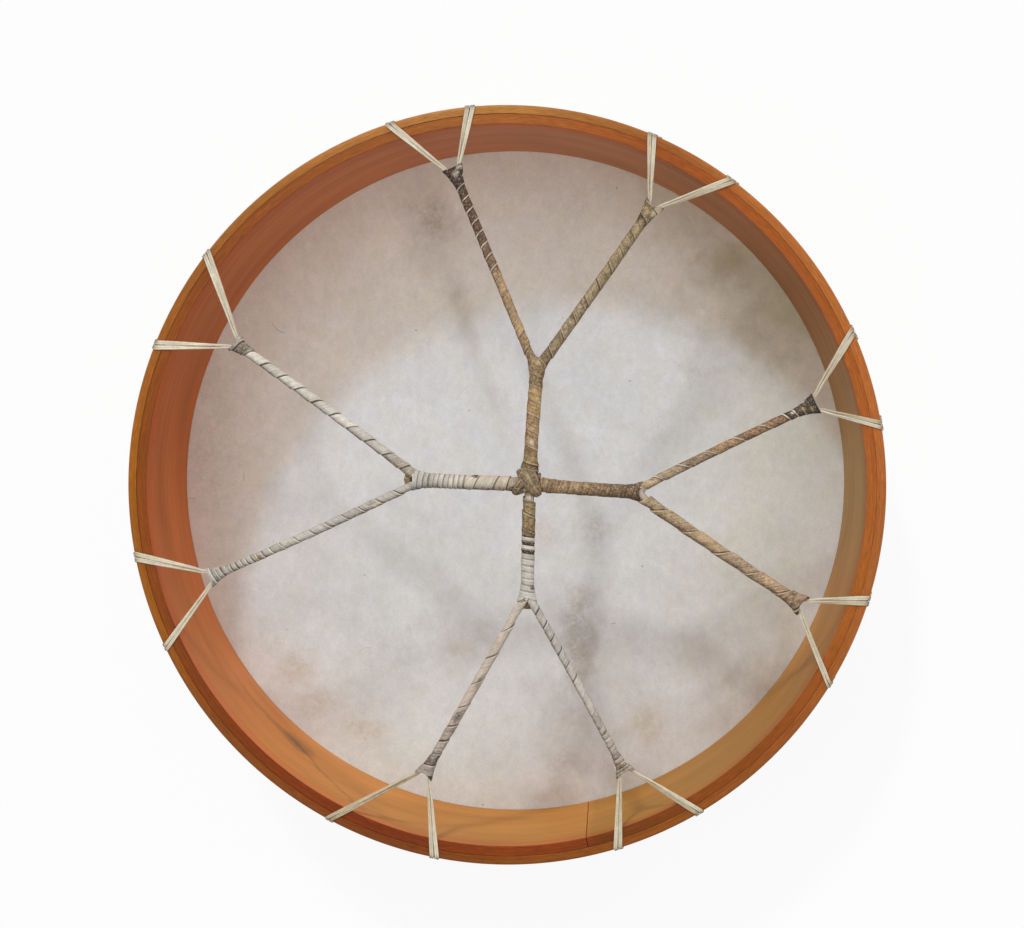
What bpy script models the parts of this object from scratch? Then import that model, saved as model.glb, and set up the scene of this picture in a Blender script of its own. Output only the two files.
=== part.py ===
"""Hand-held frame drum: a two-ply wooden hoop, a rawhide head and a laced, wrapped back.

The drum lies face down. The head's outer face is on z = 0 and the open back faces +Z.
The origin is the middle of the head's outer face. Compass names are read from behind,
with north along +Y and east along +X.
"""

import math
from collections import namedtuple

import bmesh
import bpy
from mathutils import Vector

MM = 0.001

# Hoop: two bent wooden strips, one glued inside the other, each closed by a butt joint
HOOP_DIAMETER = 400 * MM
HOOP_DEPTH = 70 * MM
OUTER_PLY = 4.8 * MM
INNER_PLY = 4.8 * MM
GLUE_LINE = 0.4 * MM
BUTT_GAP = 0.4 * MM
REAR_ROUND = 1.5 * MM
FRONT_ROUND = 3.5 * MM
EDGE_CHAMFER = 0.5 * MM
OUTER_SEAM_ANGLE = 94.4
INNER_SEAM_ANGLE = 284

# Head: rawhide over the front edge, with a skirt up the outside of the hoop
HIDE_THICKNESS = 1.2 * MM
SKIRT_SETBACK = 18 * MM
HOLE_SETBACK = 10 * MM
HOLE_SPACING = 7 * MM
HOLE_CLEARANCE = 0.4 * MM
FLARE_BELOW_HOLE = 5 * MM
FLARE_LENGTH = 8 * MM

# Lace: a flat rawhide strip that bunches up to a square where it passes through the hide
LACE_WIDTH = 3.0 * MM
LACE_THICKNESS = 1.0 * MM
LACE_BUNCH = 1.7 * MM
TIP_STRAND_GAP = 0.6 * MM
RIM_STRAND_GAP = 1.0 * MM
FLAT_BEFORE_RIM = 3 * MM

# Bundles: the lace strands gathered into four trunks and eight branches
TRUNK_RADIUS = 2.5 * MM
TRUNK_TAIL_LENGTH = 9 * MM
TRUNK_TAIL_WIDTH = 9 * MM
TRUNK_TAIL_HEIGHT = 4.2 * MM
BRANCH_RADIUS = 1.75 * MM
BRANCH_TAIL_LENGTH = 12 * MM
BRANCH_TAIL_WIDTH = 9 * MM
BRANCH_TAIL_HEIGHT = 3 * MM

# Wraps: rawhide strip wound round each bundle
WRAP_THICKNESS = 0.8 * MM
WRAP_CLEARANCE = 0.35 * MM
WRAP_TURN_GAP = 0.5 * MM
TRUNK_WRAP_PITCH = 5.5 * MM
BRANCH_WRAP_PITCH = 11 * MM
WRAP_END_MARGIN = 1.5 * MM

# Centre: the crossing of the four trunks, lashed both ways on the diagonal
HUB_RADIUS = 5 * MM
HUB_HEIGHT = 6.4 * MM
LASHING_TURNS = 2
LASHING_WIDTH = 2.2 * MM
LASHING_PITCH = 2.7 * MM
LASHING_THICKNESS = 0.8 * MM
INNER_LASHING_ANGLE = 45
OUTER_LASHING_ANGLE = 135

# Gap left between pieces that bear on each other
FIT = 0.3 * MM

# How finely round shapes are cut
RING_STEPS = 72
ROUND_STEPS = 3
BUNDLE_SIDES = 8
LASHING_STEPS = 12
TWIST_STEPS = 3
HOLE_SIDES = 8
SMOOTH_ANGLE = 35

# Trunk lengths, from the middle of the knot to the fork
NORTH_TRUNK = 64 * MM
WEST_TRUNK = 61 * MM
SOUTH_TRUNK = 62 * MM
EAST_TRUNK = 59 * MM

# How far each branch's tip lies inside the hoop's outer face
NORTH_WEST_INSET = 30.5 * MM
NORTH_EAST_INSET = 32 * MM
WEST_SOUTH_INSET = 37 * MM
WEST_NORTH_INSET = 39 * MM
SOUTH_EAST_INSET = 36 * MM
SOUTH_WEST_INSET = 42 * MM
EAST_NORTH_INSET = 30 * MM
EAST_SOUTH_INSET = 31 * MM

# Lacing layout: angles in degrees, counter-clockwise from east. In each pair of branches, and
# in each branch's pair of ties on the rim, the one further counter-clockwise comes first.
Branch = namedtuple("Branch", "name tip_angle tip_inset ties")
Arm = namedtuple("Arm", "name angle length branches")
KNOT_X = 16 * MM
KNOT_Y = 2 * MM
ARMS = (
    Arm("north", 86, NORTH_TRUNK, (
        Branch("north_west", 98.3, NORTH_WEST_INSET, (106.7, 94.4)),
        Branch("north_east", 61.2, NORTH_EAST_INSET, (66.4, 53.0)),
    )),
    Arm("west", 178, WEST_TRUNK, (
        Branch("west_south", 197.4, WEST_SOUTH_INSET, (205.6, 191.0)),
        Branch("west_north", 151.4, WEST_NORTH_INSET, (157.6, 141.6)),
    )),
    Arm("south", 269, SOUTH_TRUNK, (
        Branch("south_east", 294.0, SOUTH_EAST_INSET, (301.7, 288.4)),
        Branch("south_west", 255.3, SOUTH_WEST_INSET, (260.0, 242.9)),
    )),
    Arm("east", 356, EAST_TRUNK, (
        Branch("east_north", 15.0, EAST_NORTH_INSET, (23.7, 9.6)),
        Branch("east_south", 339.0, EAST_SOUTH_INSET, (343.1, 329.5)),
    )),
)

# Places that follow from the sizes above
RIM = HOOP_DIAMETER / 2
FRONT = HIDE_THICKNESS + FIT
REAR = FRONT + HOOP_DEPTH
GLUE_RADIUS = RIM - OUTER_PLY
INNER_FACE = GLUE_RADIUS - GLUE_LINE - INNER_PLY
SKIRT_EDGE = REAR - SKIRT_SETBACK
HOLE_LEVEL = SKIRT_EDGE - HOLE_SETBACK
FLARE_TOP = HOLE_LEVEL - FLARE_BELOW_HOLE
FLARE_BOTTOM = FLARE_TOP - FLARE_LENGTH
BIGHT_RADIUS = RIM + FIT + LACE_BUNCH / 2
SKIRT_INSIDE = RIM + LACE_BUNCH + 3 * FIT
SKIRT_OUTSIDE = SKIRT_INSIDE + HIDE_THICKNESS
LACE_LEVEL = REAR + FIT + LACE_THICKNESS / 2
HOLE_RADIUS = LACE_BUNCH / math.sqrt(2) + HOLE_CLEARANCE
KNOT = Vector((KNOT_X, KNOT_Y, LACE_LEVEL))

# The lashing clears the trunk bundles where it dips between them
LASHING_SPREAD = (LASHING_TURNS / 2 - 0.25) * LASHING_PITCH + LASHING_WIDTH / 2
LASHING_REACH = LASHING_SPREAD + math.sqrt(2) * (TRUNK_RADIUS + 2 * FIT)
INNER_LASHING_RISE = HUB_HEIGHT / 2 + FIT
CROSSING_SHARE = math.sqrt(1 - (LASHING_SPREAD / LASHING_REACH) ** 2)
OUTER_LASHING_RISE = (INNER_LASHING_RISE + LASHING_THICKNESS + 2 * FIT) / CROSSING_SHARE
TRUNK_START = HUB_RADIUS + FIT
TRUNK_WRAP_START = (LASHING_REACH + LASHING_THICKNESS + LASHING_SPREAD) / math.sqrt(2) + FIT


# Materials


def plain_material(name, colour, roughness):
    material = bpy.data.materials.new(name)
    material.use_nodes = True
    shader = material.node_tree.nodes["Principled BSDF"]
    shader.inputs["Base Color"].default_value = (*colour, 1)
    shader.inputs["Roughness"].default_value = roughness
    shader.inputs["Metallic"].default_value = 0
    material.diffuse_color = (*colour, 1)
    return material


# Mesh helpers


def place(name, bm, material, parent, location=(0, 0, 0), turn=0.0):
    """Turns a bmesh into a named, smooth-shaded object, placed by its origin and its turn about Z."""
    bmesh.ops.recalc_face_normals(bm, faces=bm.faces)
    mesh = bpy.data.meshes.new(name)
    bm.to_mesh(mesh)
    bm.free()
    mesh.shade_smooth()
    mesh.set_sharp_from_angle(angle=math.radians(SMOOTH_ANGLE))
    mesh.materials.append(material)
    obj = bpy.data.objects.new(name, mesh)
    bpy.context.scene.collection.objects.link(obj)
    obj.parent = parent
    obj.location = location
    obj.rotation_euler.z = turn
    return obj


def empty(name, location=(0, 0, 0), parent=None):
    obj = bpy.data.objects.new(name, None)
    bpy.context.scene.collection.objects.link(obj)
    obj.location = location
    obj.parent = parent
    return obj


def skin(rings):
    """A closed body through a row of rings that have the same number of points."""
    bm = bmesh.new()
    loops = [[bm.verts.new(point) for point in ring] for ring in rings]
    for near, far in zip(loops, loops[1:]):
        for i, corner in enumerate(near):
            after = (i + 1) % len(near)
            bm.faces.new((corner, near[after], far[after], far[i]))
    bm.faces.new(reversed(loops[0]))
    bm.faces.new(loops[-1])
    return bm


def arc(centre_r, centre_z, radius, start, end, steps=ROUND_STEPS):
    """Points of a profile's round, in the plane of radius and height, angles in degrees."""
    points = []
    for i in range(steps + 1):
        angle = math.radians(start + (end - start) * i / steps)
        points.append((centre_r + radius * math.cos(angle), centre_z + radius * math.sin(angle)))
    return points


def polar(radius, degrees, height=0.0):
    angle = math.radians(degrees)
    return Vector((radius * math.cos(angle), radius * math.sin(angle), height))


# Hoop


def ply(name, profile, seam_angle, material, parent):
    """A strip bent to a ring. Its two ends meet at the seam with the butt joint's gap."""
    bm = bmesh.new()
    face = bm.faces.new([bm.verts.new((r, 0, z)) for r, z in profile])
    butt_angle = BUTT_GAP / RIM
    bmesh.ops.spin(
        bm,
        geom=[face, *face.edges, *face.verts],
        axis=(0, 0, 1),
        angle=2 * math.pi - butt_angle,
        steps=RING_STEPS,
    )
    return place(name, bm, material, parent, turn=math.radians(seam_angle) + butt_angle / 2)


def outer_ply_profile():
    return [
        (GLUE_RADIUS, FRONT),
        *arc(RIM - FRONT_ROUND, FRONT + FRONT_ROUND, FRONT_ROUND, -90, 0),
        *arc(RIM - REAR_ROUND, REAR - REAR_ROUND, REAR_ROUND, 0, 90),
        (GLUE_RADIUS + EDGE_CHAMFER, REAR),
        (GLUE_RADIUS, REAR - EDGE_CHAMFER),
    ]


def inner_ply_profile():
    outside = GLUE_RADIUS - GLUE_LINE
    return [
        (INNER_FACE + EDGE_CHAMFER, FRONT),
        (outside, FRONT),
        (outside, REAR - EDGE_CHAMFER),
        (outside - EDGE_CHAMFER, REAR),
        (INNER_FACE + EDGE_CHAMFER, REAR),
        (INNER_FACE, REAR - EDGE_CHAMFER),
        (INNER_FACE, FRONT + EDGE_CHAMFER),
    ]


# Head


def head_profile():
    """The hide's section, from the outer face's edge round the skirt to the inner face's edge."""
    bend_r = RIM - FRONT_ROUND
    bend_z = FRONT + FRONT_ROUND
    inside = FRONT_ROUND + FIT
    return [
        *arc(bend_r, bend_z, inside + HIDE_THICKNESS, -90, 0),
        (RIM + FIT + HIDE_THICKNESS, FLARE_BOTTOM),
        (SKIRT_OUTSIDE, FLARE_TOP),
        (SKIRT_OUTSIDE, SKIRT_EDGE),
        (SKIRT_INSIDE, SKIRT_EDGE),
        (SKIRT_INSIDE, FLARE_TOP),
        (RIM + FIT, FLARE_BOTTOM),
        *arc(bend_r, bend_z, inside, 0, -90),
    ]


def lace_holes(parent):
    """One cutter for all the punched holes: a radial pin at each side of each tie."""
    bm = bmesh.new()
    pin_length = 4 * HIDE_THICKNESS
    half_angle = math.degrees(HOLE_SPACING / 2 / SKIRT_OUTSIDE)
    middle = (SKIRT_INSIDE + SKIRT_OUTSIDE) / 2
    for arm in ARMS:
        for tie in [tie for branch in arm.branches for tie in branch.ties]:
            for angle in (tie - half_angle, tie + half_angle):
                pin = bmesh.ops.create_cone(
                    bm,
                    cap_ends=True,
                    segments=HOLE_SIDES,
                    radius1=HOLE_RADIUS,
                    radius2=HOLE_RADIUS,
                    depth=pin_length,
                )
                outward = polar(1, angle)
                turn = outward.to_track_quat("Z", "Y").to_matrix()
                bmesh.ops.rotate(bm, verts=pin["verts"], matrix=turn)
                bmesh.ops.translate(bm, verts=pin["verts"], vec=polar(middle, angle, HOLE_LEVEL))
    cutter = place("lace_hole_cutter", bm, None, parent)
    cutter.hide_render = True
    cutter.display_type = "WIRE"
    return cutter


def head(material, parent):
    bm = bmesh.new()
    points = [bm.verts.new((r, 0, z)) for r, z in head_profile()]
    edges = [bm.edges.new(pair) for pair in zip(points, points[1:])]
    bmesh.ops.spin(
        bm,
        geom=[*points, *edges],
        axis=(0, 0, 1),
        angle=2 * math.pi,
        steps=RING_STEPS,
        use_merge=True,
    )
    bmesh.ops.holes_fill(bm, edges=[edge for edge in bm.edges if edge.is_boundary])
    hide = place("drumhead", bm, material, parent)
    cut = hide.modifiers.new("punched lace holes", "BOOLEAN")
    cut.operation = "DIFFERENCE"
    cut.object = lace_holes(parent)
    return hide


# Bundles and their wraps, modelled along local X from the inner end


def trunk_stations(length):
    """Distance along a trunk, half width and half height at each change of section."""
    return tail_stations(length, TRUNK_RADIUS, TRUNK_TAIL_LENGTH, TRUNK_TAIL_WIDTH, TRUNK_TAIL_HEIGHT)


def branch_stations(length):
    return tail_stations(length, BRANCH_RADIUS, BRANCH_TAIL_LENGTH, BRANCH_TAIL_WIDTH, BRANCH_TAIL_HEIGHT)


def tail_stations(length, radius, tail_length, tail_width, tail_height):
    """A round rod whose outer end widens into a flat fishtail, slowly at first."""
    half_width = tail_width / 2
    half_height = tail_height / 2
    middle_width = radius + (half_width - radius) / 3
    middle_height = (radius + half_height) / 2
    return [
        (0, radius, radius),
        (length - tail_length, radius, radius),
        (length - tail_length / 2, middle_width, middle_height),
        (length, half_width, half_height),
    ]


def section_at(stations, x):
    """Half width and half height of a bundle at a distance along it."""
    for (x0, width0, height0), (x1, width1, height1) in zip(stations, stations[1:]):
        if x <= x1:
            share = (x - x0) / (x1 - x0)
            return width0 + (width1 - width0) * share, height0 + (height1 - height0) * share
    return stations[-1][1:]


def bundle(name, stations, material, parent, location, turn):
    rings = []
    for x, half_width, half_height in stations:
        ring = []
        for i in range(BUNDLE_SIDES):
            angle = 2 * math.pi * i / BUNDLE_SIDES
            ring.append((x, half_width * math.cos(angle), half_height * math.sin(angle)))
        rings.append(ring)
    return place(name, skin(rings), material, parent, location, turn)


def least_turn_gap(rings, steps_per_turn):
    """Smallest distance between the points of a winding that are a turn or more apart."""
    least = math.inf
    for i, ring in enumerate(rings):
        for other in rings[i + steps_per_turn:]:
            least = min(least, min((Vector(a) - Vector(b)).length for a in ring for b in other))
    return least


def wrap(name, stations, start, end, nominal_pitch, material, parent, location, turn):
    """One unbroken strip wound round a bundle from start to end, its turns a small gap apart."""
    turns = max(2, round((end - start) / nominal_pitch) - 1)
    pitch = (end - start + WRAP_TURN_GAP) / (turns + 1)
    width = pitch - WRAP_TURN_GAP
    outside = WRAP_CLEARANCE + WRAP_THICKNESS
    corners = ((0, WRAP_CLEARANCE), (width, WRAP_CLEARANCE), (width, outside), (0, outside))
    rings = []
    for i in range(turns * BUNDLE_SIDES + 1):
        angle = 2 * math.pi * i / BUNDLE_SIDES
        x = start + pitch * i / BUNDLE_SIDES
        ring = []
        for along, lift in corners:
            half_width, half_height = section_at(stations, x + along)
            side = (half_width + lift) * math.cos(angle)
            ring.append((x + along, side, (half_height + lift) * math.sin(angle)))
        rings.append(ring)
    gap = least_turn_gap(rings, BUNDLE_SIDES)
    print(f"{name}: {turns} turns, least gap to itself {gap / MM:.2f} mm")
    return place(name, skin(rings), material, parent, location, turn)


# Centre


def hub(material, parent):
    """The crossing of the lace strands under the lashing."""
    bm = bmesh.new()
    bmesh.ops.create_uvsphere(bm, u_segments=12, v_segments=8, radius=HUB_RADIUS)
    bmesh.ops.scale(bm, verts=bm.verts, vec=(1, 1, HUB_HEIGHT / 2 / HUB_RADIUS))
    return place("centre_bundle", bm, material, parent)


def lashing(name, rise, diagonal, material, parent):
    """A strip wound over and under the crossing along one diagonal, starting underneath."""
    rings = []
    for i in range(LASHING_TURNS * LASHING_STEPS + 1):
        angle = 2 * math.pi * i / LASHING_STEPS - math.pi / 2
        y = LASHING_PITCH * (i / LASHING_STEPS - LASHING_TURNS / 2)
        ring = []
        for side, lift in ((-1, 0), (1, 0), (1, LASHING_THICKNESS), (-1, LASHING_THICKNESS)):
            reach = (LASHING_REACH + lift) * math.cos(angle)
            height = (rise + lift) * math.sin(angle)
            ring.append((reach, y + side * LASHING_WIDTH / 2, height))
        rings.append(ring)
    gap = least_turn_gap(rings, LASHING_STEPS)
    print(f"{name}: {LASHING_TURNS} turns, least gap to itself {gap / MM:.2f} mm")
    return place(name, skin(rings), material, parent, turn=math.radians(diagonal))


# Lace loops, modelled with the tie on local +X


def lace_ring(centre, across, outward):
    """Four corners of the lace's section: half its width one way and half its thickness the other."""
    return [
        centre + across + outward,
        centre - across + outward,
        centre - across - outward,
        centre + across - outward,
    ]


def strand(side, tip):
    """Rings of one strand, from the branch tip over the rim and down to behind its hole in the hide.

    Each ring is a centre, a half width vector and a half thickness vector.
    """
    radial = Vector((1, 0, 0))
    tangent = Vector((0, 1, 0))
    up = Vector((0, 0, 1))
    half_width = LACE_WIDTH / 2
    half_thickness = LACE_THICKNESS / 2
    half_bunch = LACE_BUNCH / 2
    rim_offset = tangent * side * (LACE_WIDTH + RIM_STRAND_GAP) / 2
    hole_offset = tangent * side * HOLE_SPACING / 2
    rim_start = radial * (RIM - REAR_ROUND) + up * LACE_LEVEL + rim_offset

    # On edge at the tip, flat before it reaches the hoop
    run = (radial * (RIM - REAR_ROUND) + up * LACE_LEVEL) - tip
    ahead = run.normalized()
    aside = up.cross(ahead)
    start = tip + aside * side * (LACE_THICKNESS + TIP_STRAND_GAP) / 2
    flat_length = RIM - REAR_ROUND - INNER_FACE + FLAT_BEFORE_RIM
    flat_share = 1 - flat_length / run.dot(radial)
    rings = []
    for i in range(TWIST_STEPS + 1):
        share = i / TWIST_STEPS
        twist = math.radians(90) * (1 - share)
        across = aside * math.cos(twist) + up * math.sin(twist)
        outward = up * math.cos(twist) - aside * math.sin(twist)
        centre = start.lerp(rim_start, flat_share * share)
        rings.append((centre, across * half_width, outward * half_thickness))

    # Over the hoop's rounded rear edge
    bend = REAR_ROUND + FIT + half_thickness
    for r, z in arc(0, 0, bend, 90, 0, steps=2):
        direction = Vector((r, 0, z)).normalized()
        centre = rim_start + radial * r + up * (z - bend)
        rings.append((centre, tangent * half_width, direction * half_thickness))

    # Down past the edge of the hide to the hole
    outside = SKIRT_OUTSIDE + FIT + half_thickness
    edge_share = (REAR - SKIRT_EDGE) / (REAR - HOLE_LEVEL)
    edge = radial * outside + up * (SKIRT_EDGE + FIT) + rim_offset.lerp(hole_offset, edge_share)
    rings.append((edge, tangent * half_width, radial * half_thickness))
    above = radial * outside + up * (HOLE_LEVEL + HOLE_RADIUS + LACE_THICKNESS) + hole_offset
    rings.append((above, tangent * half_width, radial * half_thickness))

    # In through the hole, then along behind the hide
    mouth = radial * (SKIRT_OUTSIDE + FIT + half_bunch) + up * HOLE_LEVEL + hole_offset
    rings.append((mouth, tangent * half_bunch, (radial - up) * half_bunch))
    behind = radial * BIGHT_RADIUS + up * HOLE_LEVEL + hole_offset
    rings.append((behind, (tangent - radial * side) * half_bunch, -up * half_bunch))
    return rings


def lace_loop(name, tie, tip, material, parent):
    """A lace that comes out of a branch, goes through two holes in the hide and back again."""
    back = Vector(tip)
    back.rotate(Vector((1, 0, 0)).rotation_difference(polar(1, tie)).inverted())
    near = strand(1, back)
    far = strand(-1, back)
    middle_centre = Vector((BIGHT_RADIUS, 0, HOLE_LEVEL))
    half_bunch = LACE_BUNCH / 2
    middle = (middle_centre, Vector((-half_bunch, 0, 0)), Vector((0, 0, -half_bunch)))
    returning = [(centre, -across, outward) for centre, across, outward in reversed(far)]
    path = [*near, middle, *returning]
    rings = [lace_ring(*ring) for ring in path]
    return place(name, skin(rings), material, parent, turn=math.radians(tie))


# Lacing


def clear_start(corner, ahead, face_normal, half_size):
    """The point past a flat end face at which a section of this half size, facing ahead, is clear of it."""
    cosine = ahead.dot(face_normal)
    sine = math.sqrt(max(0.0, 1 - cosine * cosine))
    return corner + ahead * ((FIT + half_size * sine) / cosine)


def tip_of(branch):
    return polar(RIM - branch.tip_inset, branch.tip_angle, LACE_LEVEL)


def turn_of(direction):
    return math.atan2(direction.y, direction.x)


def add_branch(branch, fork, trunk_direction, side, looks, parent):
    """A wrapped branch from its corner of the trunk's fishtail to its tip, and the tip's two laces."""
    left = Vector((0, 0, 1)).cross(trunk_direction)
    corner = fork + left * side * (TRUNK_TAIL_WIDTH / 2 - BRANCH_RADIUS)
    tip = tip_of(branch)
    ahead = (tip - corner).normalized()
    base = clear_start(corner, ahead, trunk_direction, BRANCH_RADIUS)
    length = (tip - base).length
    stations = branch_stations(length)
    turn = turn_of(ahead)
    bundle(f"branch_bundle_{branch.name}", stations, looks["lace"], parent, base, turn)
    wrap_start = BRANCH_RADIUS + WRAP_CLEARANCE
    wrap_end = length - WRAP_END_MARGIN
    wrap(
        f"branch_wrap_{branch.name}", stations, wrap_start, wrap_end, BRANCH_WRAP_PITCH,
        looks[branch.name], parent, base, turn,
    )
    tip_left = Vector((0, 0, 1)).cross(ahead)
    pair_half = LACE_THICKNESS + TIP_STRAND_GAP / 2
    for number, (tie, tie_side) in enumerate(zip(branch.ties, (1, -1)), start=1):
        lace_corner = tip + tip_left * tie_side * (BRANCH_TAIL_WIDTH / 2 - pair_half)
        to_rim = (polar(RIM, tie, LACE_LEVEL) - lace_corner).normalized()
        lace_start = clear_start(lace_corner, to_rim, ahead, pair_half)
        lace_loop(f"lace_loop_{branch.name}_{number}", tie, lace_start, looks["lace"], parent)


def add_arm(arm, looks, parent):
    """A wrapped trunk from the centre to its fork, with its two branches."""
    direction = polar(1, arm.angle)
    start = KNOT + direction * TRUNK_START
    length = arm.length - TRUNK_START
    stations = trunk_stations(length)
    turn = turn_of(direction)
    bundle(f"trunk_bundle_{arm.name}", stations, looks["lace"], parent, start, turn)
    wrap(
        f"trunk_wrap_{arm.name}", stations, TRUNK_WRAP_START - TRUNK_START, length - WRAP_END_MARGIN,
        TRUNK_WRAP_PITCH, looks[arm.name], parent, start, turn,
    )
    fork = KNOT + direction * arm.length
    for branch, side in zip(arm.branches, (1, -1)):
        add_branch(branch, fork, direction, side, looks, parent)


def wrap_looks():
    """The finish of each strip: brown on the north and east arms, pale on the south and west ones."""
    lace = plain_material("pale lace", (0.72, 0.66, 0.52), 0.55)
    pale = plain_material("pale wrap", (0.66, 0.62, 0.54), 0.6)
    brown = plain_material("brown wrap", (0.33, 0.24, 0.13), 0.65)
    looks = {"lace": lace}
    for arm in ARMS:
        finish = brown if arm.name in ("north", "east") else pale
        looks[arm.name] = finish
        looks.update({branch.name: finish for branch in arm.branches})
    return looks


def main():
    for obj in list(bpy.data.objects):
        bpy.data.objects.remove(obj)

    outer_wood = plain_material("outer ply wood", (0.52, 0.23, 0.05), 0.45)
    inner_wood = plain_material("inner ply wood", (0.42, 0.15, 0.04), 0.45)
    rawhide = plain_material("rawhide head", (0.60, 0.55, 0.48), 0.6)
    looks = wrap_looks()

    drum = empty("drum")
    ply("hoop_outer_ply", outer_ply_profile(), OUTER_SEAM_ANGLE, outer_wood, drum)
    ply("hoop_inner_ply", inner_ply_profile(), INNER_SEAM_ANGLE, inner_wood, drum)
    head(rawhide, drum)

    for arm in ARMS:
        add_arm(arm, looks, drum)

    centre = empty("centre", KNOT, drum)
    hub(looks["lace"], centre)
    lashing("centre_lashing_inner", INNER_LASHING_RISE, INNER_LASHING_ANGLE, looks["north"], centre)
    lashing("centre_lashing_outer", OUTER_LASHING_RISE, OUTER_LASHING_ANGLE, looks["north"], centre)


main()
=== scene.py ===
"""A hand-held frame drum seen from behind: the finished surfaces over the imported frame.

The drum lies face down with its open back to +Z. Compass names are read from behind, with
north along +Y and east along +X. Angles are in degrees, counter-clockwise from east.
"""

import math
from collections import namedtuple

import bmesh
import bpy
import numpy as np
from mathutils import Matrix, Vector, noise


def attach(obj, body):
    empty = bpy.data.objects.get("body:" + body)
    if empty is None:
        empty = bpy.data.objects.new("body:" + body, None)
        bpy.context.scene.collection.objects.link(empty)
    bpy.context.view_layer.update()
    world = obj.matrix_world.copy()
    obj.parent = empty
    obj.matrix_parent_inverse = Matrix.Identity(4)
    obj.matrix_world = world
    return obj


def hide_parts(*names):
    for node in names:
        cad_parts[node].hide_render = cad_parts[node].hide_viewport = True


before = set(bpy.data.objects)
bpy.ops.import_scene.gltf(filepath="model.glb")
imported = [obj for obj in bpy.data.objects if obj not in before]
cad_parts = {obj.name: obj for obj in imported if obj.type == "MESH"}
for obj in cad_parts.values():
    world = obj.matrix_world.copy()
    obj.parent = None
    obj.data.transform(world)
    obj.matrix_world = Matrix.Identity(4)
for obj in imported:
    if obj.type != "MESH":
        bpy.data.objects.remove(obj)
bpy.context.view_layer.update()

MM = 0.001

# Hoop and head, as in the frame
RIM = 200 * MM
FRONT = 1.5 * MM
REAR = 71.5 * MM
OUTER_PLY = 4.8 * MM
INNER_PLY = 4.8 * MM
GLUE_LINE = 0.4 * MM
BUTT_GAP = 0.4 * MM
REAR_ROUND = 1.5 * MM
FRONT_ROUND = 3.5 * MM
EDGE_ROUND = 0.35 * MM
OUTER_SEAM = 94.4
INNER_SEAM = 284
HIDE_THICKNESS = 1.2 * MM
FIT_GAP = 0.3 * MM
SKIRT_EDGE = 53.5 * MM
HOLE_LEVEL = 43.5 * MM
HOLE_SPACING = 7 * MM
HOLE_RADIUS = 1.6 * MM
PUNCH_DEPTH = 8 * MM
GLUE_RADIUS = RIM - OUTER_PLY
INNER_FACE = GLUE_RADIUS - GLUE_LINE - INNER_PLY

# Lacing, as in the frame
LACE_THICKNESS = 1.0 * MM
LACE_BUNCH = 1.7 * MM
TRUNK_RADIUS = 2.5 * MM
TRUNK_TAIL = (9 * MM, 4.5 * MM, 2.1 * MM)
TRUNK_CORE_START = 5.3 * MM
BRANCH_RADIUS = 1.75 * MM
BRANCH_TAIL_LENGTH = 12 * MM
BRANCH_TAIL_HALF_HEIGHT = 1.5 * MM
LACE_LEVEL = 72.3 * MM
KNOT = np.array((16 * MM, 2 * MM, LACE_LEVEL))

# Lacing, finer than the frame
LACE_SEEN = 2.55 * MM
TIP_STRAND_GAP = 0.05 * MM
RIM_STRAND_GAP = 0.3 * MM
LACE_PRESSED = 0.7
LACE_SEAT = 0.05 * MM
LACE_CLEAR = 0.2 * MM
SKIRT_PULLED = 1.9 * MM
BIGHT_RADIUS = RIM + 0.85 * MM
BIGHT_HALF = 0.65 * MM
FORK_LAP = 4 * MM
FORK_RADIUS = 2.1 * MM
WEB_RUN = 6 * MM
BOWS = {
    "north": 0.4 * MM, "north_west": 0.0, "north_east": -0.2 * MM,
    "west": 0.3 * MM, "west_south": 0.7 * MM, "west_north": -0.6 * MM,
    "south": 0.0, "south_east": 0.5 * MM, "south_west": 0.3 * MM,
    "east": -0.4 * MM, "east_north": 0.5 * MM, "east_south": -0.5 * MM,
}
TRUNK_WRAP_START = {"north": 5 * MM, "east": 1.5 * MM, "south": 3.4 * MM, "west": 2.0 * MM}
TRUNK_WRAP_LAP = {"north": -0.8 * MM, "east": -0.8 * MM, "south": -0.8 * MM, "west": 1.8 * MM}
TRUNK_STRANDS = 8
BRANCH_WRAP_SHORT = 0.4 * MM
BRANCH_CORE_START = -1.5 * MM
BRANCH_STRANDS = 4
CORE_TINTS = {"brown": "a8916a", "pale": "dcd3c0"}

# How full each trunk is beside the knot, how far it stays so and where that ends
Flare = namedtuple("Flare", "radius full end")
FLARES = {
    "north": Flare(3.9 * MM, 8.5 * MM, 13.5 * MM),
    "east": Flare(3.1 * MM, 6.5 * MM, 15 * MM),
    "south": Flare(2.5 * MM, 6 * MM, 12 * MM),
    "west": Flare(2.8 * MM, 6 * MM, 12 * MM),
}

UP = np.array((0.0, 0.0, 1.0))
TURN = 2 * math.pi


# Colour and number helpers

SEED_STEPS = (7.31, 3.17, 5.53)


def shade(code):
    """Linear colour of an sRGB code such as c8c4bc."""
    values = [int(code[i:i + 2], 16) / 255 for i in (0, 2, 4)]
    return tuple(v / 12.92 if v <= 0.04045 else ((v + 0.055) / 1.055) ** 2.4 for v in values)


def polar(radius, degrees, height=0.0):
    angle = math.radians(degrees)
    return np.array((radius * math.cos(angle), radius * math.sin(angle), height))


def unit(vector):
    return vector / np.linalg.norm(vector)


def smooth(value, low, high):
    share = np.clip((np.asarray(value, float) - low) / (high - low), 0, 1)
    return share * share * (3 - 2 * share)


def rough(points, size, seed):
    """Smooth random values of about -1 to 1 at points, with bumps of about the given size."""
    shift = Vector([seed * step for step in SEED_STEPS])
    flat = np.asarray(points, float).reshape(-1, 3) / size
    values = [noise.noise(Vector(p) + shift) for p in flat]
    return np.array(values).reshape(np.asarray(points).shape[:-1])


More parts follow.
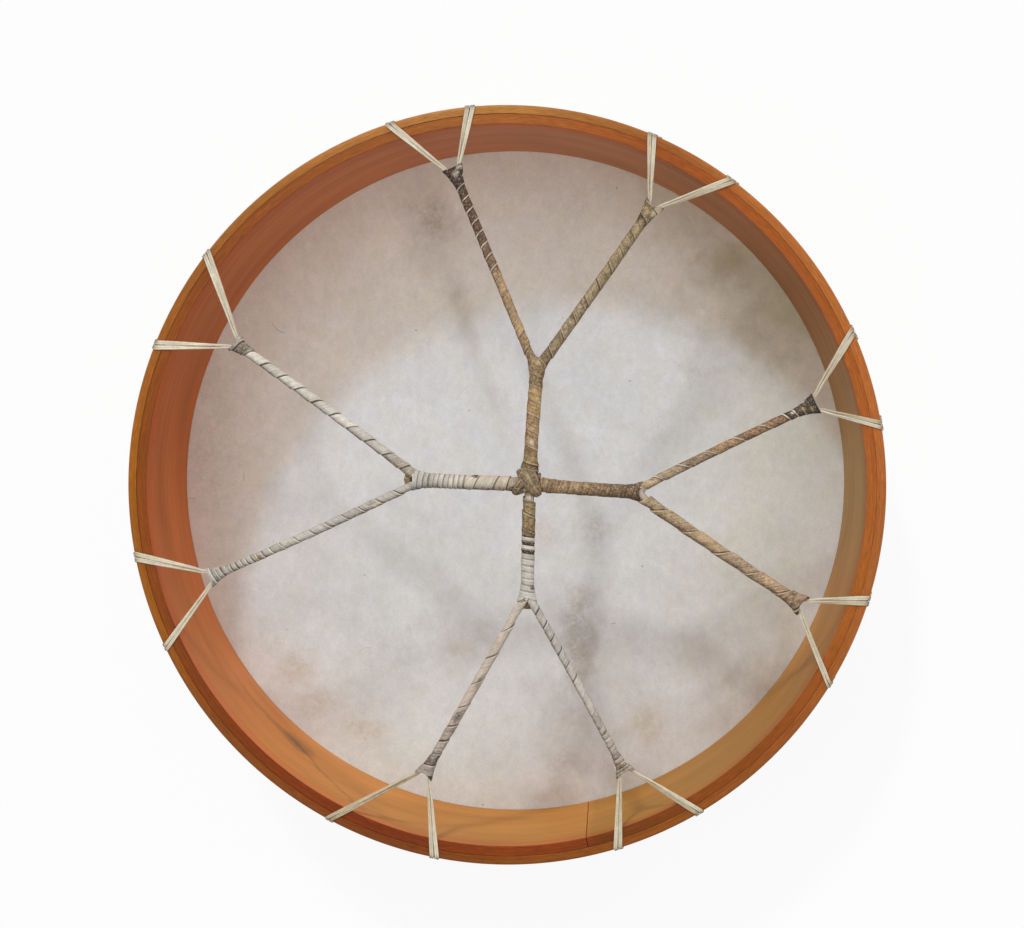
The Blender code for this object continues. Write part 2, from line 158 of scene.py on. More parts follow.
def rough_row(values, seed, row):
    """Smooth random numbers of about -1 to 1 along a row of values."""
    return np.array([noise.noise(Vector((value, seed, row))) for value in values])


def blend_stops(stops, share):
    """Colours between given stops of (share, sRGB code)."""
    places = [place for place, _ in stops]
    colours = np.array([shade(code) for _, code in stops])
    return np.stack([np.interp(share, places, colours[:, i]) for i in range(3)], axis=-1)


def number_stops(stops, share):
    """Numbers between given stops of (share, number), or one number for all shares."""
    if np.isscalar(stops):
        return stops
    return np.interp(share, *zip(*stops))


def towards(tint, code, share):
    """Tints moved by a share of the way to an sRGB code."""
    return tint + share[..., None] * (np.array(shade(code)) - tint)


def add_object(name, data):
    obj = bpy.data.objects.new(name, data)
    bpy.context.scene.collection.objects.link(obj)
    return obj


# Material helpers

NOISE_RANGE = (0.3, 0.7)


class Nodes:
    """Nodes of a material or of the world, added and linked by short calls."""

    def __init__(self, owner):
        owner.use_nodes = True
        self.tree = owner.node_tree

    def put(self, socket, value):
        if isinstance(value, bpy.types.NodeSocket):
            self.tree.links.new(value, socket)
        elif socket.type == "RGBA":
            socket.default_value = (*value[:3], 1)
        else:
            socket.default_value = value

    def node(self, kind, inputs=(), **settings):
        made = self.tree.nodes.new("ShaderNode" + kind)
        for label, value in settings.items():
            setattr(made, label, value)
        for key, value in dict(inputs).items():
            self.put(made.inputs[key], value)
        return made

    def attribute(self, name, output="Fac"):
        return self.node("Attribute", attribute_name=name).outputs[output]

    def place(self):
        return self.node("TexCoord").outputs["Object"]

    def stretch(self, vector, factors):
        made = self.node("VectorMath", {0: vector, 1: factors}, operation="MULTIPLY")
        return made.outputs["Vector"]

    def noise(self, vector, scale, detail=2.0, roughness=0.5, distortion=0.0):
        """A noise texture with about scale bumps per metre."""
        values = {"Vector": vector, "Scale": scale, "Detail": detail}
        values.update({"Roughness": roughness, "Distortion": distortion})
        return self.node("TexNoise", values).outputs["Fac"]

    def cells(self, vector, scale):
        return self.node("TexVoronoi", {"Vector": vector, "Scale": scale})

    def levels(self, value, low, high, to_low=0.0, to_high=1.0):
        values = {0: value, 1: low, 2: high, 3: to_low, 4: to_high}
        return self.node("MapRange", values).outputs["Result"]

    def spread(self, texture, to_low, to_high):
        """A noise texture's usual range, spread over a range of values."""
        return self.levels(texture, *NOISE_RANGE, to_low, to_high)

    def math(self, operation, first, second):
        return self.node("Math", {0: first, 1: second}, operation=operation).outputs[0]

    def plus(self, first, second):
        return self.math("ADD", first, second)

    def minus(self, first, second):
        return self.math("SUBTRACT", first, second)

    def times(self, first, second):
        return self.math("MULTIPLY", first, second)

    def apart(self, first, second):
        """How far two numbers are apart."""
        return self.math("ABSOLUTE", self.minus(first, second), 0.0)

    def distance(self, vector, point):
        made = self.node("VectorMath", {0: vector, 1: tuple(point)}, operation="DISTANCE")
        return made.outputs["Value"]

    def mix(self, share, first, second, blend="MIX"):
        values = {0: share, 6: first, 7: second}
        made = self.node("Mix", values, data_type="RGBA", blend_type=blend)
        return made.outputs[2]

    def dim(self, colour, value):
        """The colour times a number."""
        grey = self.node("CombineColor", {0: value, 1: value, 2: value}).outputs[0]
        return self.mix(1.0, colour, grey, "MULTIPLY")

    def vary(self, colour, texture, amount):
        """The colour made brighter or darker by a texture of about -1 to 1."""
        return self.dim(colour, self.plus(self.times(texture, amount), 1.0))

    def ramp(self, value, stops):
        made = self.node("ValToRGB", {"Fac": value})
        elements = made.color_ramp.elements
        while len(elements) < len(stops):
            elements.new(1.0)
        for element, (place, code) in zip(elements, stops):
            element.position = place
            element.color = (*shade(code), 1)
        return made.outputs["Color"]

    def bump(self, height, distance, under=None):
        values = {"Height": height, "Distance": distance}
        if under is not None:
            values["Normal"] = under
        return self.node("Bump", values).outputs["Normal"]


class Paint(Nodes):
    """A material with one Principled shader."""

    def __init__(self, name, **constants):
        self.material = bpy.data.materials.new(name)
        super().__init__(self.material)
        self.shader = self.tree.nodes["Principled BSDF"]
        for label, value in constants.items():
            self.shader.inputs[label.replace("_", " ")].default_value = value

    def finish(self, colour, roughness, normal):
        self.put(self.shader.inputs["Base Color"], colour)
        self.put(self.shader.inputs["Roughness"], roughness)
        self.put(self.shader.inputs["Normal"], normal)
        return self.material


# Mesh helpers

SHARP_ANGLE = 40


class Shape:
    """Points and faces of one piece, gathered from swept rings, with values painted on the points."""

    def __init__(self):
        self.points = []
        self.faces = []
        self.paint = {}
        self.count = 0

    def sweep(self, rings, **paint):
        """A closed body through a row of rings that have the same number of points."""
        rings = np.asarray(rings, float)
        rows, columns, _ = rings.shape
        index = self.count + np.arange(rows * columns).reshape(rows, columns)
        self.add_points(rings, paint)
        after = np.roll(index, -1, axis=1)
        quads = np.stack((index[:-1], after[:-1], after[1:], index[1:]), axis=-1)
        self.faces.extend(quads.reshape(-1, 4).tolist())
        self.faces.append(index[0, ::-1].tolist())
        self.faces.append(index[-1].tolist())

    def sweep_strip(self, rings, tint, edge_tint, strip, edge=0.0, groove=0.0):
        """A swept strip or strand, with the values that strip_paint reads.

        The strip's own places are distances along it and across it, and a seed.
        """
        plain = 0 * rings[..., 0]
        self.sweep(
            rings, tint=tint + 0 * rings, edge=edge + plain, edge_tint=shade(edge_tint) + 0 * rings,
            groove=groove + plain, strip=np.stack([value + plain for value in strip], axis=-1),
        )

    def add_points(self, points, paint):
        shape = points.shape[:-1]
        self.points.append(points.reshape(-1, 3))
        self.count += self.points[-1].shape[0]
        for label, values in paint.items():
            values = np.asarray(values, float)
            width = values.shape[len(shape):] if values.ndim > len(shape) else ()
            self.paint.setdefault(label, []).append(values.reshape(-1, *width))

    def build(self, name, material, slot, nodes):
        mesh = bpy.data.meshes.new(name)
        mesh.from_pydata(np.concatenate(self.points).tolist(), [], self.faces)
        bm = bmesh.new()
        bm.from_mesh(mesh)
        bmesh.ops.recalc_face_normals(bm, faces=bm.faces)
        bm.to_mesh(mesh)
        bm.free()
        for label, parts in self.paint.items():
            values = np.concatenate(parts)
            kind = {1: "FLOAT", 2: "FLOAT_VECTOR"}[values.ndim]
            layer = mesh.attributes.new(label, kind, "POINT")
            field = "value" if values.ndim == 1 else "vector"
            layer.data.foreach_set(field, values.astype(np.float32).ravel())
        mesh.shade_smooth()
        mesh.set_sharp_from_angle(angle=math.radians(SHARP_ANGLE))
        mesh.materials.append(material)
        obj = add_object(name, mesh)
        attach(obj, "root")
        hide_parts(*nodes)
        return obj


def arc(centre_r, centre_z, radius, start, end, steps=6):
    """Points of a profile's round, in the plane of radius and height."""
    angles = np.radians(np.linspace(start, end, steps + 1))
    return [(centre_r + radius * math.cos(a), centre_z + radius * math.sin(a)) for a in angles]


# Hoop: two bent strips, each painted by the distance from its own seam

HOOP_STEPS = 420
HOOP_WANDER = 0.25 * MM
WANDER_WAVES = (2, 3, 5)
WANDER_SHIFT = 1.7
SECTION_HOLD = 0.4 * MM
GLUE_SEEN = 0.12 * MM
GLUE_REACH = 1.2 * MM
GLUE_CLOSING = 0.45
GLUE_TIGHT_ANGLE = 10
GLUE_OPENING = 0.2 * MM
GLUE_OPENING_ANGLE = 97
GLUE_OPENING_SPAN = 14

# Colours of the rear edges and of the walls round the drum
OUTER_EDGE = (
    (0, "a65e2a"), (15, "b0652c"), (40, "b0672c"), (65, "a25f28"), (90, "ae7638"), (105, "b4763a"),
    (130, "a06428"), (150, "9a5a20"), (180, "985912"), (200, "965612"), (215, "854912"), (250, "773a0c"),
    (290, "874a0e"), (320, "97531e"), (345, "a66028"),
)
OUTER_WALL = ((0, "a8662c"), (120, "b06c30"), (240, "a2622b"))
INNER_EDGE = (
    (0, "a85c22"), (40, "9f541c"), (65, "9e501c"), (95, "9e5d26"), (130, "934e1d"), (165, "844410"),
    (180, "89450c"), (210, "78390a"), (225, "793404"), (240, "793104"), (253, "732c03"), (270, "803704"),
    (286, "6c3404"), (315, "904a10"), (345, "a95e20"),
)
INNER_WALL = (
    (0, "a07a42"), (35, "925f38"), (65, "a66b40"), (95, "b46f48"), (135, "b56632"), (165, "b3602a"),
    (195, "ba6732"), (215, "c67a40"), (240, "c88542"), (265, "b77c36"), (285, "a9772e"), (320, "a97733"),
    (345, "a8773c"),
)

# Bands between two depths under the rear edge: the sawn edge, the outer wall's dark top, and the oil
# that gathers on the inner wall and makes it redder
SAWN_EDGE = (1.4 * MM, 0.5 * MM)
WALL_TOP = (5 * MM, 1 * MM)
# The outer wall's top is painted darker as shade, where its round turns away from the light
WALL_TOP_SHADE = 0.55
OILED = (11 * MM, 2 * MM)
OILED_TINT = "ffdac2"

# Painted shadow on the inner wall, of the centre knot and of the lacing that runs from it: a dark blot,
# and a dark line that runs into it and rises beyond it. Places are an angle round the drum and a height.
KNOT_SHADOW_PLACE = (231.5, 26 * MM)
KNOT_SHADOW_HALF = (14 * MM, 11 * MM)
KNOT_SHADOW_DARK = 0.48
LACE_SHADOW_FADES = ((203, 226), (243, 262))
LACE_SHADOW_RISE = ((232, 25 * MM), (246, 59 * MM))
LACE_SHADOW_DARK = 0.34
LACE_SHADOW_HALF = 3 * MM
LACE_SHADOW_SWAY = 4 * MM
WALL_SHADOW_TINT = "5c4434"

# Tones of the wood: at its clouds, from the front to the rear of a wall, and how strongly each texture
# shows on a wall, as a share, and on the sawn edge
CLOUD_TONES = (0.88, 1.1)
WALL_TONES = (1.14, 0.97)
BAND_STRENGTH = (0.45, 0.55)
FIBRE_STRENGTH = (0.22, 0.85)
PORE_STRENGTH = (0.1, 1.1)
WOOD_ROUGHNESS = (0.52, 0.4)
GRAIN_DEPTH = 0.06 * MM


def from_seam(seam, stops):
    """Stops by angle round the drum, turned into shares of a strip that starts at its seam."""
    angles = np.array([angle for angle, _ in stops])
    shares = ((angles - seam) % 360) / 360
    order = np.argsort(shares)
    placed = [(float(shares[i]), stops[i][1]) for i in order]
    return [(0.0, placed[-1][1]), *placed]


def painted_shadow_on_wall(paint, grain, seam):
    """How strongly the painted shadow of the centre knot and its lacing shows at a place of the wall."""

    def along_at(angle):
        return (angle - seam) % 360 / 360 * TURN * RIM

    wavy = paint.noise(paint.stretch(grain, (70, 0, 160)), 1.0, 3)
    sway = paint.levels(wavy, 0.25, 0.75, -LACE_SHADOW_SWAY, LACE_SHADOW_SWAY)
    parts = paint.node("SeparateXYZ", {0: grain}).outputs
    along = parts["X"]
    level = paint.plus(parts["Z"], sway)
    (rise_start, low), (rise_end, high) = LACE_SHADOW_RISE
    line = paint.levels(along, along_at(rise_start), along_at(rise_end), low, high)
    shown = paint.levels(paint.apart(level, line), 0, LACE_SHADOW_HALF, LACE_SHADOW_DARK, 0)
    for (start, end), kept in zip(LACE_SHADOW_FADES, ((0, 1), (1, 0))):
        shown = paint.times(shown, paint.levels(along, along_at(start), along_at(end), *kept))
    angle, height = KNOT_SHADOW_PLACE
    half_length, half_height = KNOT_SHADOW_HALF
    beside = paint.math("DIVIDE", paint.minus(along, along_at(angle)), half_length)
    across = paint.math("DIVIDE", paint.minus(level, height), half_height)
    far = paint.plus(paint.times(across, across), paint.times(beside, beside))
    return paint.plus(shown, paint.levels(far, 0, 1, KNOT_SHADOW_DARK, 0))


def wood(name, seam, edge_stops, wall_stops, wall_top_shade, seed, shadow_painted=False):
    """Oiled bent wood: fibres run along the strip, and its sawn rear edge has its own tone."""
    paint = Paint(name, Specular_IOR_Level=0.18)
    grain = paint.attribute("grain", "Vector")
    share = paint.attribute("share")
    height = paint.attribute("height")

    def under_rear(band, *values):
        start, end = band
        return paint.levels(height, REAR - start, REAR - end, *values)

    on_edge = under_rear(SAWN_EDGE)
    wall = paint.ramp(share, from_seam(seam, wall_stops))
    # Painted shade at the wall's top
    wall = paint.dim(wall, under_rear(WALL_TOP, 1, wall_top_shade))
    if shadow_painted:
        # Painted shadow of the centre knot and its lacing on the inner wall
        wall = paint.mix(painted_shadow_on_wall(paint, grain, seam), wall, shade(WALL_SHADOW_TINT))
        wall = paint.mix(under_rear(OILED), wall, shade(OILED_TINT), "MULTIPLY")
    edge = paint.ramp(share, from_seam(seam, edge_stops))
    colour = paint.mix(on_edge, wall, edge)

    # Each texture is stretched to its own bumps per metre along the strip, through it and across it
    shifted = paint.node("VectorMath", {0: grain, 1: (seed, seed, seed)}).outputs[0]
    clouds = paint.noise(paint.stretch(shifted, (14, 60, 60)), 1.0, 3)
    bands = paint.noise(paint.stretch(shifted, (5, 700, 170)), 1.0, 3, 0.6, 0.4)
    fibres = paint.noise(paint.stretch(shifted, (60, 2600, 1500)), 1.0, 3, 0.6)
    pores = paint.noise(paint.stretch(shifted, (190, 3600, 2600)), 1.0, 1)
    colour = paint.dim(colour, paint.spread(clouds, *CLOUD_TONES))
    colour = paint.dim(colour, paint.levels(height, FRONT, REAR, *WALL_TONES))
    strengths = (BAND_STRENGTH, FIBRE_STRENGTH, PORE_STRENGTH)
    for texture, (on_wall, amount) in zip((bands, fibres, pores), strengths):
        strength = paint.levels(on_edge, 0, 1, on_wall * amount, amount)
        colour = paint.vary(colour, paint.minus(texture, 0.5), strength)
    roughness = paint.spread(bands, *WOOD_ROUGHNESS)
    normal = paint.bump(paint.plus(fibres, pores), GRAIN_DEPTH)
    return paint.finish(colour, roughness, normal)


def hoop_section(inside, outside, rear_out, rear_in, front_out, front_in):
    """A ply's outline, with a point close to each round to keep the flats flat."""
    points = []
    for r, z, size, turn in (
        (outside, FRONT, front_out, -90), (outside, REAR, rear_out, 0),
        (inside, REAR, rear_in, 90), (inside, FRONT, front_in, 180),
    ):
        centre_r = r - size if r == outside else r + size
        centre_z = z + size if z == FRONT else z - size
        rounded = arc(centre_r, centre_z, size, turn, turn + 90)
        start = np.array(rounded[0]) - polar(SECTION_HOLD, turn + 90)[:2]
        end = np.array(rounded[-1]) + polar(SECTION_HOLD, turn + 180)[:2]
        points += [tuple(start), *rounded, tuple(end)]
    return np.array(points)


def ply(name, node, section, seam, glue_side, material, slot):
    """A strip bent to a ring. Its two ends meet at the seam with the butt joint's gap."""
    half_gap = math.degrees(BUTT_GAP / RIM) / 2
    angles = np.linspace(seam + half_gap, seam + 360 - half_gap, HOOP_STEPS + 1)
    turns = np.radians(angles)[:, None]
    r, z = section[None, :, 0], section[None, :, 1]
    ones = np.ones_like(turns)
    waves = sum(np.sin(k * turns + WANDER_SHIFT * k * k) / k for k in WANDER_WAVES)
    wander = waves * HOOP_WANDER / 2
    off = (angles[:, None] - GLUE_OPENING_ANGLE + 180) % 360 - 180
    opening = GLUE_OPENING * np.exp(-(off / GLUE_OPENING_SPAN) ** 2)
    tight = np.cos(turns - math.radians(GLUE_TIGHT_ANGLE))
    closing = GLUE_SEEN * (GLUE_CLOSING + GLUE_CLOSING * tight)
    opening = (opening - closing) * (glue_side > 0)
    near_glue = np.abs(r - GLUE_RADIUS) < GLUE_REACH
    moved = r + wander + opening * near_glue
    rings = np.stack((moved * np.cos(turns), moved * np.sin(turns), z * ones), axis=-1)
    share = (turns - turns[0]) / TURN * np.ones_like(r)
    grain = np.stack((share * TURN * RIM, r * ones, z * ones), axis=-1)
    shape = Shape()
    shape.sweep(rings, share=share, grain=grain, height=z * ones)
    shape.build(name, material, slot, [node])


def make_hoop():
    outer = wood("outer_ply_wood", OUTER_SEAM, OUTER_EDGE, OUTER_WALL, WALL_TOP_SHADE, 0.3)
    inner = wood("inner_ply_wood", INNER_SEAM, INNER_EDGE, INNER_WALL, 1.0, 5.1, shadow_painted=True)
    section = hoop_section(GLUE_RADIUS, RIM, REAR_ROUND, EDGE_ROUND, FRONT_ROUND, EDGE_ROUND)
    ply("outer_ply", "hoop_outer_ply", section, OUTER_SEAM, 1, outer, "outer_ply_wood")
    outside = GLUE_RADIUS - GLUE_SEEN
    section = hoop_section(INNER_FACE, outside, EDGE_ROUND, EDGE_ROUND, EDGE_ROUND, EDGE_ROUND)
    ply("inner_ply", "hoop_inner_ply", section, INNER_SEAM, 0, inner, "inner_ply_wood")


# Lacing layout, as in the frame

# In each pair the one further counter-clockwise comes first. A tie has its angle on the rim, its strands'
# share of the usual width and how aged each strand is. A branch has its tip's angle and depth inside the
# rim, half the width and the notch of its tail, and its ties.
Tie = namedtuple("Tie", "degrees width ages")
Branch = namedtuple("Branch", "name tip_angle inset tail notch ties")
Arm = namedtuple("Arm", "name angle length branches")
ARMS = (
    Arm("north", 86, 64 * MM, (
        Branch(
            "north_west", 98.3, 30.5 * MM, 5.1 * MM, 0.6 * MM,
            (Tie(106.7, 0.9, (0.1, 0.3)), Tie(94.4, 1.0, (0.4, 0.0))),
        ),
        Branch(
            "north_east", 61.2, 32 * MM, 4.5 * MM, 2.4 * MM,
            (Tie(66.4, 0.95, (0.5, 0.2)), Tie(53.0, 0.95, (0.2, 0.5))),
        ),
    )),
    Arm("west", 178, 61 * MM, (
        Branch(
            "west_south", 197.4, 37 * MM, 4.9 * MM, 1.2 * MM,
            (Tie(205.6, 0.8, (0.2, 0.2)), Tie(191.0, 1.05, (0.3, 0.3))),
        ),
        Branch(
            "west_north", 151.4, 39 * MM, 4.5 * MM, 1.4 * MM,
            (Tie(157.6, 1.0, (0.0, 0.2)), Tie(141.6, 1.05, (0.1, 0.3))),
        ),
    )),
    Arm("south", 269, 62 * MM, (
        Branch(
            "south_east", 294.0, 36 * MM, 5.0 * MM, 1.8 * MM,
            (Tie(301.7, 0.9, (0.1, 0.8)), Tie(288.4, 0.9, (0.4, 0.3))),
        ),
        Branch(
            "south_west", 255.3, 42 * MM, 4.5 * MM, 2.2 * MM,
            (Tie(260.0, 0.95, (0.1, 0.4)), Tie(242.9, 0.82, (0.9, 0.7))),
        ),
    )),
    Arm("east", 356, 59 * MM, (
        Branch(
            "east_north", 15.0, 30 * MM, 5.1 * MM, 0.6 * MM,
            (Tie(23.7, 0.95, (0.4, 0.4)), Tie(9.6, 0.85, (0.6, 0.2))),
        ),
        Branch(
            "east_south", 339.0, 31 * MM, 4.6 * MM, 2.2 * MM,
            (Tie(343.1, 1.0, (0.2, 0.5)), Tie(329.5, 0.65, (0.3, 0.3))),
        ),
    )),
)
TIES = sorted(tie.degrees for arm in ARMS for branch in arm.branches for tie in branch.ties)


# Head: one rawhide sheet with a skirt up the outside of the hoop

HEAD_STEPS = 360
HEAD_SPREAD = 197 * MM
HEAD_RING = 3 * MM
HEAD_WAVE = 0.25 * MM
HEAD_WAVE_SIZE = 60 * MM
HEAD_WAVE_END = (160 * MM, 190 * MM)
HOLE_SIDES = 20

# The skirt: shares of its height between which the laces draw it off the hoop and between which it
# crinkles, and how the edge drops between the ties
SKIRT_STEP = 3 * MM
SKIRT_LIFTS = (0.45, 0.8)
SKIRT_LIFT_LEAST = 0.25
CRINKLES = (0.3, 1.0)
CRINKLE = 0.5 * MM
CRINKLE_INWARD = 0.1 * MM
CRINKLE_PULLED_FLAT = 0.7
RIPPLE_SIZE = 14 * MM
TIE_SPAN = 3.2
EDGE_DROP = 3.0 * MM
EDGE_UNEVEN = 0.5

# The hide is warmer outside a circle that lies towards the south
# Partly the hide's own tone, partly painted shade: warmer where the hoop's cast shadow falls, the circle
# following its edge
WARM_SHADE_CENTRE = (35 * MM, -90 * MM)
WARM_SHADE_RADIUS = 192 * MM
WARM_SHADE_SOFT = 11 * MM
WARM_SHADE_RAGGED = 6 * MM

# The dun and brown marks are partly stains and partly painted shadows of the lacing, where its cast
# shadows fall
# Marks in the hide: place in mm, size across and along in mm, lean in degrees, strength
HIDE_MARKS = {
    "brown": (
        (-44, 153, 9, 12, 0, 0.36), (105, 65, 8, 10, 0, 0.14), (49, -27, 9, 12, 10, 0.22),
        (40, -98, 9, 20, 0, 0.3), (-60, -96, 14, 10, 0, 0.12), (33, -162, 16, 8, 0, 0.2),
        (-62, 160, 10, 8, 0, 0.15), (38, -77, 10, 19, 0, 0.32), (37, -132, 12, 10, 0, 0.2),
        (-178, 18, 24, 50, 0, 0.15),
    ),
    "dun": (
        (-44, 140, 15, 24, 10, 0.34), (-30, 106, 7, 50, 18, 0.4), (-10, 50, 6, 26, 20, 0.2),
        (41, -102, 13, 26, 0, 0.62), (126, 124, 16, 14, 0, 0.4), (104, -98, 34, 20, 20, 0.3),
        (45, -140, 50, 34, 0, 0.3), (-22, -90, 30, 16, 0, 0.3), (66, -104, 34, 34, 15, 0.25),
        (146, -116, 36, 24, 40, 0.5), (-95, -85, 60, 50, 0, 0.14), (60, -168, 22, 12, 0, 0.4),
        (36, -184, 34, 12, 0, 0.45), (8, -84, 18, 14, 0, 0.2), (144, 88, 24, 20, -30, 0.35),
        (150, -90, 30, 30, 0, 0.2), (105, -60, 40, 24, 0, 0.12), (26, -72, 52, 40, 0, 0.16),
        (-32, -72, 40, 58, 0, 0.17), (-67, -56, 14, 10, 0, 0.16), (-44, -81, 20, 12, 0, 0.26),
        (37, 8, 6, 18, 10, 0.14),
    ),
    "beige": (
        (-126, -111, 12, 9, 30, 0.4), (-113, -128, 11, 7, 0, 0.35), (-84, -144, 14, 7, -15, 0.35),
        (19, -27, 8, 10, 0, 0.3), (80, -137, 11, 9, 0, 0.4), (-29, -96, 9, 8, 0, 0.3),
    ),
    "olive": (
        (156, 106, 40, 34, -35, 0.78), (110, 160, 44, 24, -30, 0.6), (172, 20, 30, 80, 0, 0.15),
        (140, -40, 40, 80, 10, 0.28), (128, 126, 16, 14, 0, 0.9), (152, 24, 50, 60, 0, 0.3),
    ),
    "cool": (
        (-100, -95, 60, 50, 0, 0.6), (-60, -160, 70, 34, 0, 1.0), (-150, -70, 30, 50, 0, 0.7),
    ),
}
MARK_RAGGED = 0.35
RAGGED_SIZE = 9 * MM
RAGGED_FINE_SIZE = 3.5 * MM
RAGGED_FINE = 0.6

# Colours of the hide, of its broad tinges, of its cream patches and of its stains and painted shadows
HIDE_TINT = "dddee0"
TINGES = {"warm": "e9e1d8", "olive": "c9c29e", "cool": "dde4e5"}
CREAM_TINT = "fdfcf7"
STAINS_AND_SHADOWS = {"dun": "a08f7f", "beige": "bfa886", "brown": "7d6248"}
HIDE_ROUGHNESS = (0.66, 0.54)
MOTTLE_DEPTH = 0.15 * MM
HIDE_GRAIN_DEPTH = 0.05 * MM

# Specks: cells per metre, chance that a cell has a speck, and where it fades in shares of a cell
SPECK_CELLS = 130
SPECK_CHANCE = 0.06
SPECK_FADE = (0.03, 0.09)
SPECK_STRENGTH = 0.6
SPECK_TINT = "5f4a38"

# Short hairs left in the hide: middle in mm, half length and bend radius in mm, direction in degrees to
# the middle of the bend, strength
Hair = namedtuple("Hair", "x y half_length bend degrees strength")
HAIRS = (
    Hair(-136, 89, 6, 10, 50, 0.45), Hair(-156, 3, 3, 5, 180, 0.4), Hair(-187, -10, 2.5, 4, 90, 0.45),
    Hair(-125, 56, 3, 6, 230, 0.35), Hair(-28, 52, 7, 20, -40, 0.2), Hair(60, -81, 1.6, 30, 100, 0.6),
    Hair(-85, -97, 5, 6, 290, 0.25),
)
HAIR_HALF = 0.24 * MM
HAIR_SIDE_FADE = 0.5
HAIR_END_FADE = 0.7
HAIR_TINT = "6b5440"


def marks(x, y, spots, ragged):
    """How strongly a group of soft marks shows at points of the hide."""
    total = np.zeros_like(x)
    for mark_x, mark_y, across, along, lean, strength in spots:
        turn = math.radians(lean)
        dx = x - mark_x * MM
        dy = y - mark_y * MM
        u = (dx * math.cos(turn) + dy * math.sin(turn)) / (across * MM)
        v = (dy * math.cos(turn) - dx * math.sin(turn)) / (along * MM)
        reach = np.sqrt(u * u + v * v) * (1 + MARK_RAGGED * ragged)
        total = np.maximum(total, strength * np.exp(-reach * reach))
    return total


def hair_share(paint, flat, hair):
    """How strongly a short bent hair shows at points of the hide."""
    middle = np.array((hair.x * MM, hair.y * MM, 0))
    centre = middle + polar(hair.bend * MM, hair.degrees)
    off = paint.apart(paint.distance(flat, centre), hair.bend * MM)
    beside = paint.levels(off, HAIR_SIDE_FADE * HAIR_HALF, HAIR_HALF, hair.strength, 0)
    half_length = hair.half_length * MM
    to_middle = paint.distance(flat, middle)
    within = paint.levels(to_middle, HAIR_END_FADE * half_length, half_length, 1, 0)
    return paint.times(beside, within)


def rawhide():
    """Dry, cloudy rawhide with stains, painted shadows, a painted shade that makes it warmer, specks and
    fine fibres.
    """
    paint = Paint("rawhide", Specular_IOR_Level=0.2)
    place = paint.place()
    colour = shade(HIDE_TINT)
    for label, code in TINGES.items():
        colour = paint.mix(paint.attribute(label), colour, shade(code))
    patchy = paint.levels(paint.noise(place, 34, 4, 0.6, 0.6), 0.3, 0.62, 0.35, 1.15)
    broken = paint.levels(paint.noise(place, 330, 4, 0.7, 0.4), 0.32, 0.6, 0.25, 1.25)
    # Stains, partly painted shadows of the lacing
    for label, code in STAINS_AND_SHADOWS.items():
        share = paint.times(paint.attribute(label), patchy if label == "dun" else broken)
        colour = paint.mix(share, colour, shade(code))
    tinge = paint.noise(place, 60, 5, 0.65, 0.6)
    creamed = paint.mix(1.0, colour, shade(CREAM_TINT), "MULTIPLY")
    colour = paint.mix(paint.levels(tinge, 0.38, 0.62, 0, 1), colour, creamed)
    clouds = paint.noise(place, 24, 5, 0.6, 0.4)
    flaws = paint.noise(place, 105, 5, 0.65, 0.5)
    mottle = paint.noise(paint.stretch(place, (1, 0.7, 1)), 240, 6, 0.72, 0.3)
    grain = paint.noise(place, 1200, 3, 0.65)
    for texture, dark, bright in (
        (clouds, 0.94, 1.06), (flaws, 0.975, 1.03), (mottle, 0.93, 1.05), (grain, 0.94, 1.05),
    ):
        colour = paint.dim(colour, paint.spread(texture, dark, bright))
    flat = paint.stretch(place, (1, 1, 0))
    for hair in HAIRS:
        colour = paint.mix(hair_share(paint, flat, hair), colour, shade(HAIR_TINT))
    cells = paint.cells(place, SPECK_CELLS)
    chance = paint.node("SeparateColor", {0: cells.outputs["Color"]}).outputs[0]
    pick = paint.math("GREATER_THAN", chance, 1 - SPECK_CHANCE)
    dot = paint.levels(cells.outputs["Distance"], *SPECK_FADE, SPECK_STRENGTH, 0)
    colour = paint.mix(paint.times(pick, dot), colour, shade(SPECK_TINT))
    roughness = paint.spread(mottle, *HIDE_ROUGHNESS)
    normal = paint.bump(grain, HIDE_GRAIN_DEPTH, paint.bump(mottle, MOTTLE_DEPTH))
    return paint.finish(colour, roughness, normal)


def tie_pull(angles):
    """1 beside a tie, where the lace pulls the skirt, falling to 0 between ties."""
    off = np.abs((angles[:, None] - np.array(TIES)[None] + 180) % 360 - 180)
    return np.exp(-(off.min(axis=1) / TIE_SPAN) ** 2)


def head_path():
    """The hide's middle line: radius, height, direction out of it and share of the way up the skirt."""
    flat = HIDE_THICKNESS / 2
    bend = FRONT_ROUND + (FRONT - flat)
    rings = np.arange(HEAD_RING, HEAD_SPREAD - FRONT_ROUND, HEAD_RING)
    path = [(r, flat, 0.0, -1.0, 0.0) for r in rings]
    for r, z in arc(0, 0, bend, -90, 0, 8):
        path.append((RIM - FRONT_ROUND + r, FRONT + FRONT_ROUND + z, r / bend, z / bend, 0.0))
    start = FRONT + FRONT_ROUND
    for z in np.arange(start + SKIRT_STEP, SKIRT_EDGE, SKIRT_STEP):
        path.append((RIM + FRONT - flat, z, 1.0, 0.0, (z - start) / (SKIRT_EDGE - start)))
    path.append((RIM + FRONT - flat, SKIRT_EDGE, 1.0, 0.0, 1.0))
    return np.array(path)


